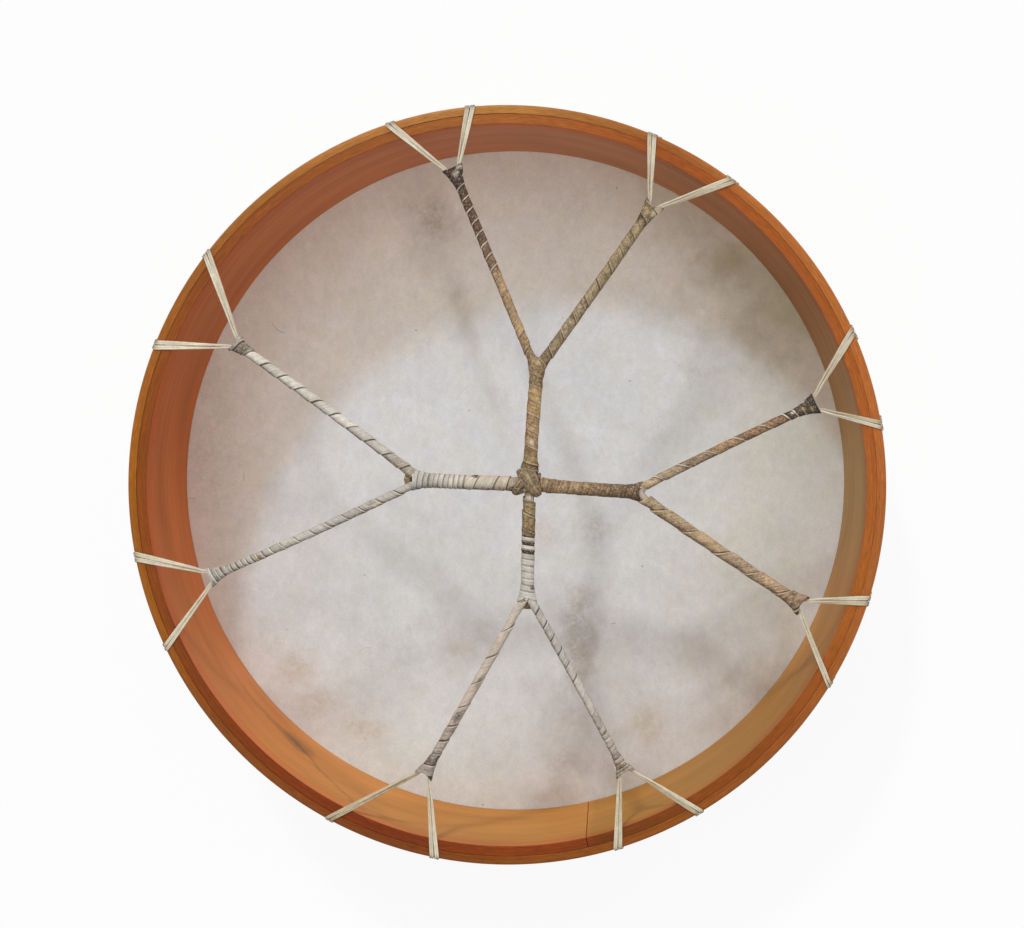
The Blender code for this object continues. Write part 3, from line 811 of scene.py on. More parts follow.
def punch_holes(head):
    """Two round holes through the skirt at each tie."""
    tool = bmesh.new()
    for tie in TIES:
        for side in (1, -1):
            centre = polar(RIM + SKIRT_PULLED, tie, HOLE_LEVEL)
            centre = centre + polar(side * HOLE_SPACING / 2, tie + 90)
            turn = Vector(polar(1, tie)).to_track_quat("Z", "Y").to_matrix().to_4x4()
            bmesh.ops.create_cone(
                tool, cap_ends=True, segments=HOLE_SIDES, radius1=HOLE_RADIUS, radius2=HOLE_RADIUS,
                depth=PUNCH_DEPTH, matrix=Matrix.Translation(centre) @ turn,
            )
    mesh = bpy.data.meshes.new("punch")
    tool.to_mesh(mesh)
    tool.free()
    cut = head.modifiers.new("holes", "BOOLEAN")
    cut.object = add_object("punch", mesh)
    whole = head.data
    seen = head.evaluated_get(bpy.context.evaluated_depsgraph_get())
    head.data = bpy.data.meshes.new_from_object(seen)
    head.modifiers.remove(cut)
    bpy.data.meshes.remove(whole)
    bpy.data.meshes.remove(mesh)


def make_head():
    """The hide as one closed sheet: out along its outer face, over the skirt's edge and back inside."""
    angles = np.arange(HEAD_STEPS) * 360 / HEAD_STEPS
    turns = np.radians(angles)
    pull = tie_pull(angles)[None, :]
    r, z, out_r, out_z, rise = (column[:, None] for column in head_path().T)
    shown = SKIRT_LIFT_LEAST + (1 - SKIRT_LIFT_LEAST) * pull
    lift = smooth(rise, *SKIRT_LIFTS) * shown * (SKIRT_PULLED - FIT_GAP)
    edge = rise ** 3 * (1 - pull) * EDGE_DROP
    x0 = r * np.cos(turns)[None]
    y0 = r * np.sin(turns)[None]
    probe = np.stack((x0, y0, z + 0 * x0), axis=-1)
    ripple = rough(probe, RIPPLE_SIZE, seed=3)
    wave = HEAD_WAVE * (0.5 + 0.5 * rough(probe, HEAD_WAVE_SIZE, seed=4))
    wave = wave * (1 - smooth(r, *HEAD_WAVE_END)) * (rise == 0)
    height = z - edge * (1 + EDGE_UNEVEN * ripple) + wave
    crinkle = CRINKLE * ripple * smooth(rise, *CRINKLES) * (1 - CRINKLE_PULLED_FLAT * pull)
    layers = []
    for side in (1, -1):
        half = side * HIDE_THICKNESS / 2
        radius = r + lift + np.maximum(crinkle, -CRINKLE_INWARD) + out_r * half
        top = height + out_z * half
        layers.append(np.stack((radius * np.cos(turns), radius * np.sin(turns), top), axis=-1))
    rings = np.concatenate((layers[0], layers[1][::-1]))
    x, y = rings[..., 0], rings[..., 1]
    ragged = rough(rings, RAGGED_SIZE, seed=8) + RAGGED_FINE * rough(rings, RAGGED_FINE_SIZE, seed=9)
    values = {label: marks(x, y, spots, ragged) for label, spots in HIDE_MARKS.items()}
    # Painted shade, partly the hide's own tone: warmer outside the circle of the hoop's cast shadow
    reach = np.hypot(x - WARM_SHADE_CENTRE[0], y - WARM_SHADE_CENTRE[1]) - WARM_SHADE_RADIUS
    values["warm"] = smooth(reach + WARM_SHADE_RAGGED * ragged, -WARM_SHADE_SOFT, WARM_SHADE_SOFT)
    shape = Shape()
    shape.sweep(rings, **values)
    head = shape.build("head", rawhide(), "rawhide_head", ["drumhead"])
    punch_holes(head)


# Strips and laces: rawhide strip, tinted by the piece that it is in

# Painted shade in the grooves beside each turn, between strands and along the sides of lashings
GROOVE_SHADE_TINT = "3b2d22"
GLEAM_TINT = "d8c9a6"

Finish = namedtuple("Finish", "blotch fibre fleck gleam stain edge_wear stain_tint")
LACE_FINISH = Finish(0.08, 0.14, 0.1, 0.0, 0.25, 0.4, "b5a283")
PALE_FINISH = Finish(0.12, 0.2, 0.2, 0.15, 0.3, 0.5, "a8977c")
BROWN_FINISH = Finish(0.42, 0.5, 0.6, 0.4, 0.5, 0.6, "63402f")
BROWN_TONE = 0.28
PALE_TONE = 0.44
STRIP_ROUGHNESS = (0.72, 0.5)
FIBRE_DEPTH = 0.15 * MM
BLOTCH_DEPTH = 0.25 * MM


def strip_paint(name, pale):
    """Dry rawhide strip: a painted tint with blotches, stains, flecks, fibres along it, cut edges and
    painted shade.

    Brown parts are rougher than pale ones.
    """
    paint = Paint(name, Specular_IOR_Level=0.3)
    strip = paint.attribute("strip", "Vector")
    place = paint.place()
    colour = paint.attribute("tint", "Vector")
    tone = paint.node("RGBToBW", {0: colour}).outputs[0]
    blotch, fibre, fleck, gleam, stain, edge_wear = (
        paint.levels(tone, BROWN_TONE, PALE_TONE, brown_amount, pale_amount)
        for brown_amount, pale_amount in zip(BROWN_FINISH[:6], pale[:6])
    )
    blotches = paint.noise(place, 400, 4, 0.65, 0.5)
    fibres = paint.noise(paint.stretch(strip, (130, 900, 1)), 1.0, 4, 0.65, 0.3)
    stains = paint.noise(place, 230, 3, 0.6, 0.4)
    flecks = paint.noise(place, 1400, 3, 0.6)
    gleams = paint.noise(place, 1100, 3, 0.6, 0.3)
    bare = paint.noise(place, 240, 2)
    browned = paint.levels(tone, BROWN_TONE, PALE_TONE, 1, 0)
    stain_tint = paint.mix(browned, shade(pale.stain_tint), shade(BROWN_FINISH.stain_tint))
    colour = paint.vary(colour, paint.levels(blotches, 0.34, 0.66, -1, 0.7), blotch)
    colour = paint.mix(paint.levels(stains, 0.48, 0.66, 0, stain), colour, stain_tint)
    colour = paint.vary(colour, paint.levels(fibres, 0.36, 0.64, -1, 0.7), fibre)
    colour = paint.vary(colour, paint.levels(flecks, 0.34, 0.5, -1, 0), fleck)
    colour = paint.mix(paint.levels(gleams, 0.54, 0.66, 0, gleam), colour, shade(GLEAM_TINT))
    worn = paint.times(paint.levels(bare, 0.36, 0.5, -1, 0), edge_wear)
    edge = paint.times(paint.attribute("edge"), paint.plus(worn, 1.0))
    # On laces the edge values carry painted shade along the sides and in the fold
    colour = paint.mix(edge, colour, paint.attribute("edge_tint", "Vector"))
    # Painted shade in the grooves
    colour = paint.mix(paint.attribute("groove"), colour, shade(GROOVE_SHADE_TINT))
    roughness = paint.spread(blotches, *STRIP_ROUGHNESS)
    normal = paint.bump(fibres, FIBRE_DEPTH, paint.bump(blotches, BLOTCH_DEPTH))
    return paint.finish(colour, roughness, normal)


# Rods: the straight or slightly bowed bundles that are wrapped

# A station is a place along the rod, with half the rod's width and half its height there
Rod = namedtuple("Rod", "origin ahead left length stations bow notch")


def fishtail(length, radius, tail):
    """Stations of a rod's outer end, which widens into a flat tail."""
    tail_length, half_width, half_height = tail
    middle_width = radius + (half_width - radius) / 3
    return [
        (length - tail_length, radius, radius),
        (length - tail_length / 2, middle_width, (radius + half_height) / 2),
        (length, half_width, half_height),
    ]


def trunk_stations(length, flare):
    """A rod that is fuller beside the knot, with a fishtail at the fork."""
    start = [
        (0, flare.radius, flare.radius),
        (flare.full, flare.radius, flare.radius),
        (flare.end, TRUNK_RADIUS, TRUNK_RADIUS),
    ]
    return np.array(start + fishtail(length, TRUNK_RADIUS, TRUNK_TAIL))


def branch_stations(length, half_width):
    """A rod that is a little fuller where it leaves the fork, with a fishtail at its tip."""
    start = [
        (-FORK_LAP, FORK_RADIUS, FORK_RADIUS),
        (0, FORK_RADIUS, FORK_RADIUS),
        (2 * FORK_LAP, BRANCH_RADIUS, BRANCH_RADIUS),
    ]
    tail = (BRANCH_TAIL_LENGTH, half_width, BRANCH_TAIL_HALF_HEIGHT)
    return np.array(start + fishtail(length, BRANCH_RADIUS, tail))


def rod_point(rod, x, side, height):
    """Points of a rod from distances along it, to its left and up."""
    bow = rod.bow * np.sin(np.pi * np.clip(x / rod.length, 0, 1))
    sideways = (side + bow)[..., None] * rod.left
    return rod.origin + x[..., None] * rod.ahead + sideways + height[..., None] * UP


def rod_section(rod, x):
    """Half the width and half the height of a rod at places along it."""
    places, half_widths, half_heights = rod.stations.T
    return np.interp(x, places, half_widths), np.interp(x, places, half_heights)


# Wraps: strips wound round the rods

# A strip's section goes from its raised near edge over its back to its covered far edge, and back inside.
# Lift is in thicknesses, and under is 1 where the rod's fullness lifts it too. Edge is 1 on the cut near
# edge, and groove is 1 in the dark line beside the next turn.
STRIP_LIFT = np.array((1.1, 1.7, 2.0, 2.0, 1.75, 1.45, 1.2, 1.1, 0.95, 0.05, 0.4, 0.75, 0.9))
STRIP_UNDER = np.array((1, 1, 1, 1, 1, 1, 1, 1, 1, 0, 0, 0, 0.5))
STRIP_EDGE = np.array((1, 1, 0.9, 0, 0, 0, 0, 0, 0, 0, 0, 0, 1))
# The groove's dark line is painted shade, where the next turn's raised edge shades the strip
STRIP_GROOVE = np.array((0, 0, 0, 0, 0, 0, 0, 1, 1, 1, 0, 0, 0))
STRIP_STEPS = 32
STRIP_OVERLAP = 1.6 * MM
STRIP_WAVER = 0.45 * MM
STRIP_LUMP = 0.2 * MM
STRIP_LUMP_SIZE = 3.2 * MM
FIRST_TURN_DROP = 0.9
TAIL_NOTCH = 2.4 * MM
NOTCH_MIDDLE = 0.6

# The cut edge's line, at most a share of the strip. In such lines: how far the edge reaches over the
# back, and how far before the next turn the plain back ends and the dark groove starts
EDGE_LINE = 0.45 * MM
EDGE_LINE_MOST = 0.13
EDGE_REACH = 1.6
EDGE_REACH_MOST = 0.4
PLAIN_END = 2.4
DARK_START = 1.5

# Random steps in each turn for the strip's waver and for its tint, and how much the tint varies
WAVER_STEP = 1.3
TINT_STEP = 3.7
TINT_VARIES = 0.25

# A rod is painted darker on the side away from the light, by how far a place faces up and to the light
SIDE_SHADE = 0.36
SIDE_LIGHT = 70
FACED_UP = 0.55
FACED_ASIDE = 0.85
FACED_RANGE = (-0.75, 0.5)

# Painted groove shade: how uneven it is and how dark it gets at most
GROOVE_LUMP_SIZE = 4 * MM
GROOVE_EVEN = 0.9
GROOVE_UNEVEN = 0.5
GROOVE_MOST = 0.95
GROOVE_SEED = 40
PATCH_EDGE = (0.7, 1.1)
PATCH_UNDERSIDE = -0.2

WRAP_FIELDS = "hand fullness thickness seed edge pitches tints strengths grooves patches"
Wrap = namedtuple("Wrap", WRAP_FIELDS, defaults=[()])
Patch = namedtuple("Patch", "place side length half_width tint")


def strip_across(width):
    """Distances of a strip's section points from its near edge, for a row of widths."""
    seam = width - STRIP_OVERLAP
    line = np.minimum(EDGE_LINE, EDGE_LINE_MOST * seam)
    plain = seam - PLAIN_END * line
    dark = seam - DARK_START * line
    start = np.minimum(EDGE_REACH * line, EDGE_REACH_MOST * width)
    back = [start + share * (plain - start) for share in (0, 0.33, 0.67, 1)]
    under = [width, 0.6 * width, 0.3 * width, 0 * width]
    return np.stack((0 * width, 0.2 * start, 0.6 * start, *back, dark, width, *under), axis=-1)


def wind(rod, start, end, wrap):
    """One unbroken strip wound round a rod, each turn lapping over the one before."""
    near = [start]
    beyond = 0
    while beyond < STRIP_STEPS:
        pitch = MM * number_stops(wrap.pitches, near[-1] / rod.length)
        near.append(near[-1] + pitch / STRIP_STEPS)
        beyond += near[-1] > end - rod.notch / 2
    near = np.array(near)
    widths = near[STRIP_STEPS:] - near[:-STRIP_STEPS] + STRIP_OVERLAP
    near = near[:-STRIP_STEPS]
    widths = widths + TAIL_NOTCH * smooth(near, end - 3 * TAIL_NOTCH, end)
    steps = np.arange(len(near))
    turns = steps / STRIP_STEPS
    whole = steps // STRIP_STEPS
    unsteady = rough_row(turns * WAVER_STEP, wrap.seed, 0.5)
    across = strip_across(widths)
    angle = (wrap.hand * TURN * turns)[:, None] + 0 * across
    x = near[:, None] + across + (STRIP_WAVER * unsteady)[:, None]
    x = np.minimum(x, end + rod.notch * (np.cos(angle) ** 2 - NOTCH_MIDDLE))
    laid = np.minimum(turns, 1)[:, None]
    drop = (1 - laid) * np.minimum(STRIP_LIFT, 1) * FIRST_TURN_DROP
    lift = wrap.thickness * MM * (STRIP_LIFT - drop)
    half_width, half_height = rod_section(rod, x)
    flat = rod_point(rod, x, half_width * np.cos(angle), half_height * np.sin(angle))
    lump = STRIP_LUMP * rough(flat, STRIP_LUMP_SIZE, wrap.seed) * (STRIP_LIFT > 0.5)
    lift = lift + lump + wrap.fullness * MM * STRIP_UNDER * laid
    rings = rod_point(rod, x, (half_width + lift) * np.cos(angle), (half_height + lift) * np.sin(angle))

    middle = near[whole * STRIP_STEPS] + 0.5 * widths[whole * STRIP_STEPS]
    each_turn = rough_row(whole * TINT_STEP, wrap.seed, 1.5)
    tint = blend_stops(wrap.tints, middle / rod.length) * (1 + TINT_VARIES * each_turn)[:, None]
    to_light = float(rod.left @ polar(1, SIDE_LIGHT))
    faced = FACED_UP * np.sin(angle) + FACED_ASIDE * np.cos(angle) * to_light
    side_shade = SIDE_SHADE + (1 - SIDE_SHADE) * smooth(faced, *FACED_RANGE)
    tint = tint[:, None] * side_shade[..., None]
    for patch in wrap.patches:
        off_x = (x - patch.place * MM) / (patch.length * MM / 2)
        off_side = (np.cos(angle) - patch.side) / patch.half_width
        share = 1 - smooth(np.hypot(off_x, off_side), *PATCH_EDGE)
        tint = towards(tint, patch.tint, share * (np.sin(angle) > PATCH_UNDERSIDE))
    strength = number_stops(wrap.strengths, x / rod.length)
    uneven = GROOVE_EVEN + GROOVE_UNEVEN * rough(rings, GROOVE_LUMP_SIZE, wrap.seed + GROOVE_SEED)
    groove = np.clip(number_stops(wrap.grooves, x / rod.length) * uneven, 0, GROOVE_MOST)
    run = (half_width + half_height) * np.pi * turns[:, None]
    shape = Shape()
    shape.sweep_strip(
        rings, tint, wrap.edge, (run, across, wrap.seed),
        edge=strength * STRIP_EDGE, groove=groove * STRIP_GROOVE,
    )
    return shape


# Strands: the laces gathered in a bundle, with their shares of the bundle's round and of its tail

STRAND_STEPS = 26
STRAND_SIDES = 8
STRAND_SIZES = {BRANCH_STRANDS: 0.5, TRUNK_STRANDS: 0.42}
STRAND_NEST = 0.98
STRAND_TAIL_SHARE = 0.95
STRAND_TAIL_TALL = 1.25
# Painted shade along each strand's sides, where it meets the next strand
STRAND_GROOVE = 0.5
TINY = 0.01 * MM


def strands(shape, rod, start, count, tint):
    """The lace strands of a bundle: gathered in a round, then side by side in the fishtail."""
    radius = rod.stations[-3, 1]
    tail_width = rod.stations[-1, 1]
    order = sorted(range(count), key=lambda j: math.cos(TURN * (j + 0.5) / count))
    size = radius * STRAND_SIZES[count]
    ring = (radius - size) * STRAND_NEST
    corner = np.linspace(0, TURN, STRAND_SIDES + 1)[:-1]
    for line, j in enumerate(order):
        phase = TURN * (j + 0.5) / count
        place = (line + 0.5) / count * 2 - 1
        x = np.linspace(start, rod.length - rod.notch * (1 - abs(place)), STRAND_STEPS)
        half_width, half_height = rod_section(rod, x)
        flat = smooth(half_width - radius, 0, max(tail_width - radius, TINY)) * (x > rod.length / 2)
        side = (1 - flat) * ring * math.cos(phase) + flat * place * tail_width
        height = (1 - flat) * ring * math.sin(phase)
        wide = (1 - flat) * size + flat * min(size, tail_width / count * STRAND_TAIL_SHARE)
        tall = (1 - flat) * size + flat * np.minimum(size * STRAND_TAIL_TALL, half_height)
        ring_x = x[:, None] + 0 * corner
        ring_side = side[:, None] + wide[:, None] * np.cos(corner)
        ring_height = height[:, None] + tall[:, None] * np.sin(corner)
        points = rod_point(rod, ring_x, ring_side, ring_height)
        groove = STRAND_GROOVE * np.abs(np.cos(corner)) ** 4
        shape.sweep_strip(points, shade(tint), tint, (ring_x, corner * size, j), groove=groove)


# Laces: flat strands from a branch tip over the rim to the hide

# A lace's section is in shares of half its width and half its thickness, with a soft fold along its back
LACE_SECTION = np.array((
    (-1, -0.2), (-0.93, 0.6), (-0.7, 1.0), (-0.3, 0.95), (0.0, 0.7), (0.3, 0.95), (0.72, 1.0),
    (0.94, 0.55), (1, -0.2), (0.85, -0.85), (0.4, -1), (-0.4, -1), (-0.85, -0.85),
))
# Painted shade along a lace's sides and underside, and in the fold along its back
LACE_CREASE_SHADE = np.array((0.9, 0.5, 0, 0.05, 0.4, 0.05, 0, 0.5, 0.9, 0.9, 0.9, 0.9, 0.9))
LACE_TINT = "e4dcc6"
LACE_CREASE_SHADE_TINT = "8d7c62"
LACE_AGED_TINT = "b39e7c"
LACE_RIM_TINT = "9c8b74"
LACE_SPLITS = 6
LACE_WAVER_SIZE = 9 * MM
LACE_VARIES = 0.08
LACE_TIP_NARROW = 0.62
LACE_TWIST_END = 0.8

# Where a lace is darker and browner over the rim, by radius and height, and where its painted crease shade
# deepens towards the rim
RIM_TINT_FROM = (RIM - 3 * MM, RIM + 0.5 * MM)
RIM_TINT_UP = (REAR - 14 * MM, REAR - 2 * MM)
CREASE_SHADE_FROM = (RIM - 26 * MM, RIM - 6 * MM)
CREASE_SHADE_LEAST = 0.2

# A lace's way down the outside: off the hoop's side, over the hide's edge and to its hole
BESIDE_RIM_OFF = 0.3 * MM
BESIDE_RIM_DOWN = 6 * MM
BESIDE_RIM_ASIDE = 1.8 * MM
HIDE_EDGE_UP = 0.5 * MM
HIDE_EDGE_ASIDE = 2.8 * MM
ABOVE_HOLE = 2.6 * MM

# A lace's end inside the branch tip: from the side of the tail, how far back and how far to the middle
LACE_END_INSET = 1.3 * MM
LACE_END_BACK = 6 * MM
LACE_END_IN = 1.2 * MM


def spline(values, splits):
    """A smooth curve through rows of values, with the given number of steps between each two."""
    values = np.asarray(values, float)
    before = np.concatenate((values[:1], values[:-1]))
    ahead = np.concatenate((values[1:], values[-1:]))
    slope = (ahead - before) / 2
    steps = np.arange(splits) / splits
    rows = []
    for i in range(len(values) - 1):
        for t in steps:
            a = 2 * t ** 3 - 3 * t ** 2 + 1
            b = t ** 3 - 2 * t ** 2 + t
            c = -2 * t ** 3 + 3 * t ** 2
            d = t ** 3 - t ** 2
            rows.append(a * values[i] + b * slope[i] + c * values[i + 1] + d * slope[i + 1])
    rows.append(values[-1])
    return np.array(rows)


def lace_strand(side, tip, back, tie):
    """One strand from inside the branch tip, over the rim and down to behind its hole in the hide.

    Each row is a centre, a half width vector and a half thickness vector.
    """
    radial = polar(1, tie.degrees)
    tangent = polar(1, tie.degrees + 90)
    half_width = LACE_SEEN * tie.width / 2
    half_thickness = LACE_THICKNESS / 2
    rim_half = half_thickness * LACE_PRESSED
    half_bunch = LACE_BUNCH / 2
    bed = REAR + rim_half + LACE_SEAT
    beside_middle = tangent * side * (half_width + RIM_STRAND_GAP / 2)
    rim_start = radial * (RIM - REAR_ROUND) + UP * bed + beside_middle
    ahead = unit(rim_start - tip)
    aside = unit(np.cross(UP, ahead))
    start = tip + aside * side * (LACE_THICKNESS + TIP_STRAND_GAP) / 2
    rows = [(start + back, UP * half_width * LACE_TIP_NARROW, -aside * half_thickness)]
    for share in np.linspace(0, LACE_TWIST_END, 5):
        twist = math.radians(90) * (1 - share / LACE_TWIST_END)
        across = aside * math.cos(twist) + UP * math.sin(twist)
        outward = UP * math.cos(twist) - aside * math.sin(twist)
        narrow = LACE_TIP_NARROW + (1 - LACE_TIP_NARROW) * share
        thin = 1 + (LACE_PRESSED - 1) * share
        centre = start + (rim_start - start) * share
        rows.append((centre, across * half_width * narrow, outward * half_thickness * thin))
    bend = REAR_ROUND + rim_half + LACE_SEAT
    for r, z in arc(0, 0, bend, 90, 0, 3):
        direction = unit(radial * r + UP * z)
        rows.append((rim_start + radial * r + UP * (z - bend), tangent * half_width, direction * rim_half))
    hoop_side = RIM + rim_half + LACE_SEAT + BESIDE_RIM_OFF
    outside = RIM + SKIRT_PULLED + HIDE_THICKNESS + LACE_CLEAR + rim_half
    for radius, height, off in (
        (hoop_side, REAR - BESIDE_RIM_DOWN, BESIDE_RIM_ASIDE),
        (outside, SKIRT_EDGE + HIDE_EDGE_UP, HIDE_EDGE_ASIDE),
        (outside, HOLE_LEVEL + ABOVE_HOLE, HOLE_SPACING / 2),
    ):
        centre = radial * radius + UP * height + tangent * side * off
        rows.append((centre, tangent * half_width, radial * rim_half))
    hole = UP * HOLE_LEVEL + tangent * side * HOLE_SPACING / 2
    mouth = radial * (outside - rim_half + half_bunch / 2) + hole
    rows.append((mouth, tangent * half_bunch, unit(radial - UP) * half_bunch))
    behind = radial * BIGHT_RADIUS + hole
    rows.append((behind, unit(tangent - radial * side) * BIGHT_HALF, -UP * half_bunch))
    return rows


def lace(name, node, tie, tip, back, material):
    """A lace that comes out of a branch, goes through two holes in the hide and back again."""
    near = lace_strand(1, tip, back, tie)
    far = lace_strand(-1, tip, back, tie)
    radial = polar(1, tie.degrees)
    middle = (radial * BIGHT_RADIUS + UP * HOLE_LEVEL, -radial * BIGHT_HALF, -UP * LACE_BUNCH / 2)
    rows = [*near, middle, *[(centre, -across, out) for centre, across, out in reversed(far)]]
    centre, across, outward = (spline([row[i] for row in rows], LACE_SPLITS) for i in range(3))
    wide = LACE_SECTION[None, :, 0, None]
    thick = LACE_SECTION[None, :, 1, None]
    rings = centre[:, None] + across[:, None] * wide + outward[:, None] * thick
    run = np.concatenate(([0], np.cumsum(np.linalg.norm(np.diff(centre, axis=0), axis=1))))
    waver = rough(np.stack((run, 0 * run, 0 * run), axis=-1), LACE_WAVER_SIZE, tie.degrees)
    aged = np.where(np.arange(len(run)) < len(run) / 2, *tie.ages)
    # Darker and browner where the lace goes over the rim
    worn = smooth(np.hypot(centre[:, 0], centre[:, 1]), *RIM_TINT_FROM) * smooth(centre[:, 2], *RIM_TINT_UP)
    tint = np.array(shade(LACE_TINT)) * (1 + LACE_VARIES * waver)[:, None]
    tint = towards(tint, LACE_AGED_TINT, aged)
    tint = towards(tint, LACE_RIM_TINT, worn)
    # Painted crease shade, deeper towards the rim
    near_rim = smooth(np.hypot(rings[..., 0], rings[..., 1]), *CREASE_SHADE_FROM)
    edge = LACE_CREASE_SHADE * (CREASE_SHADE_LEAST + (1 - CREASE_SHADE_LEAST) * near_rim)
    strip = (run[:, None], LACE_SECTION[:, 0] * LACE_SEEN / 2, 0)
    shape = Shape()
    shape.sweep_strip(rings, tint[:, None], LACE_CREASE_SHADE_TINT, strip, edge=edge)
    shape.build(name, material, "lace", [node])


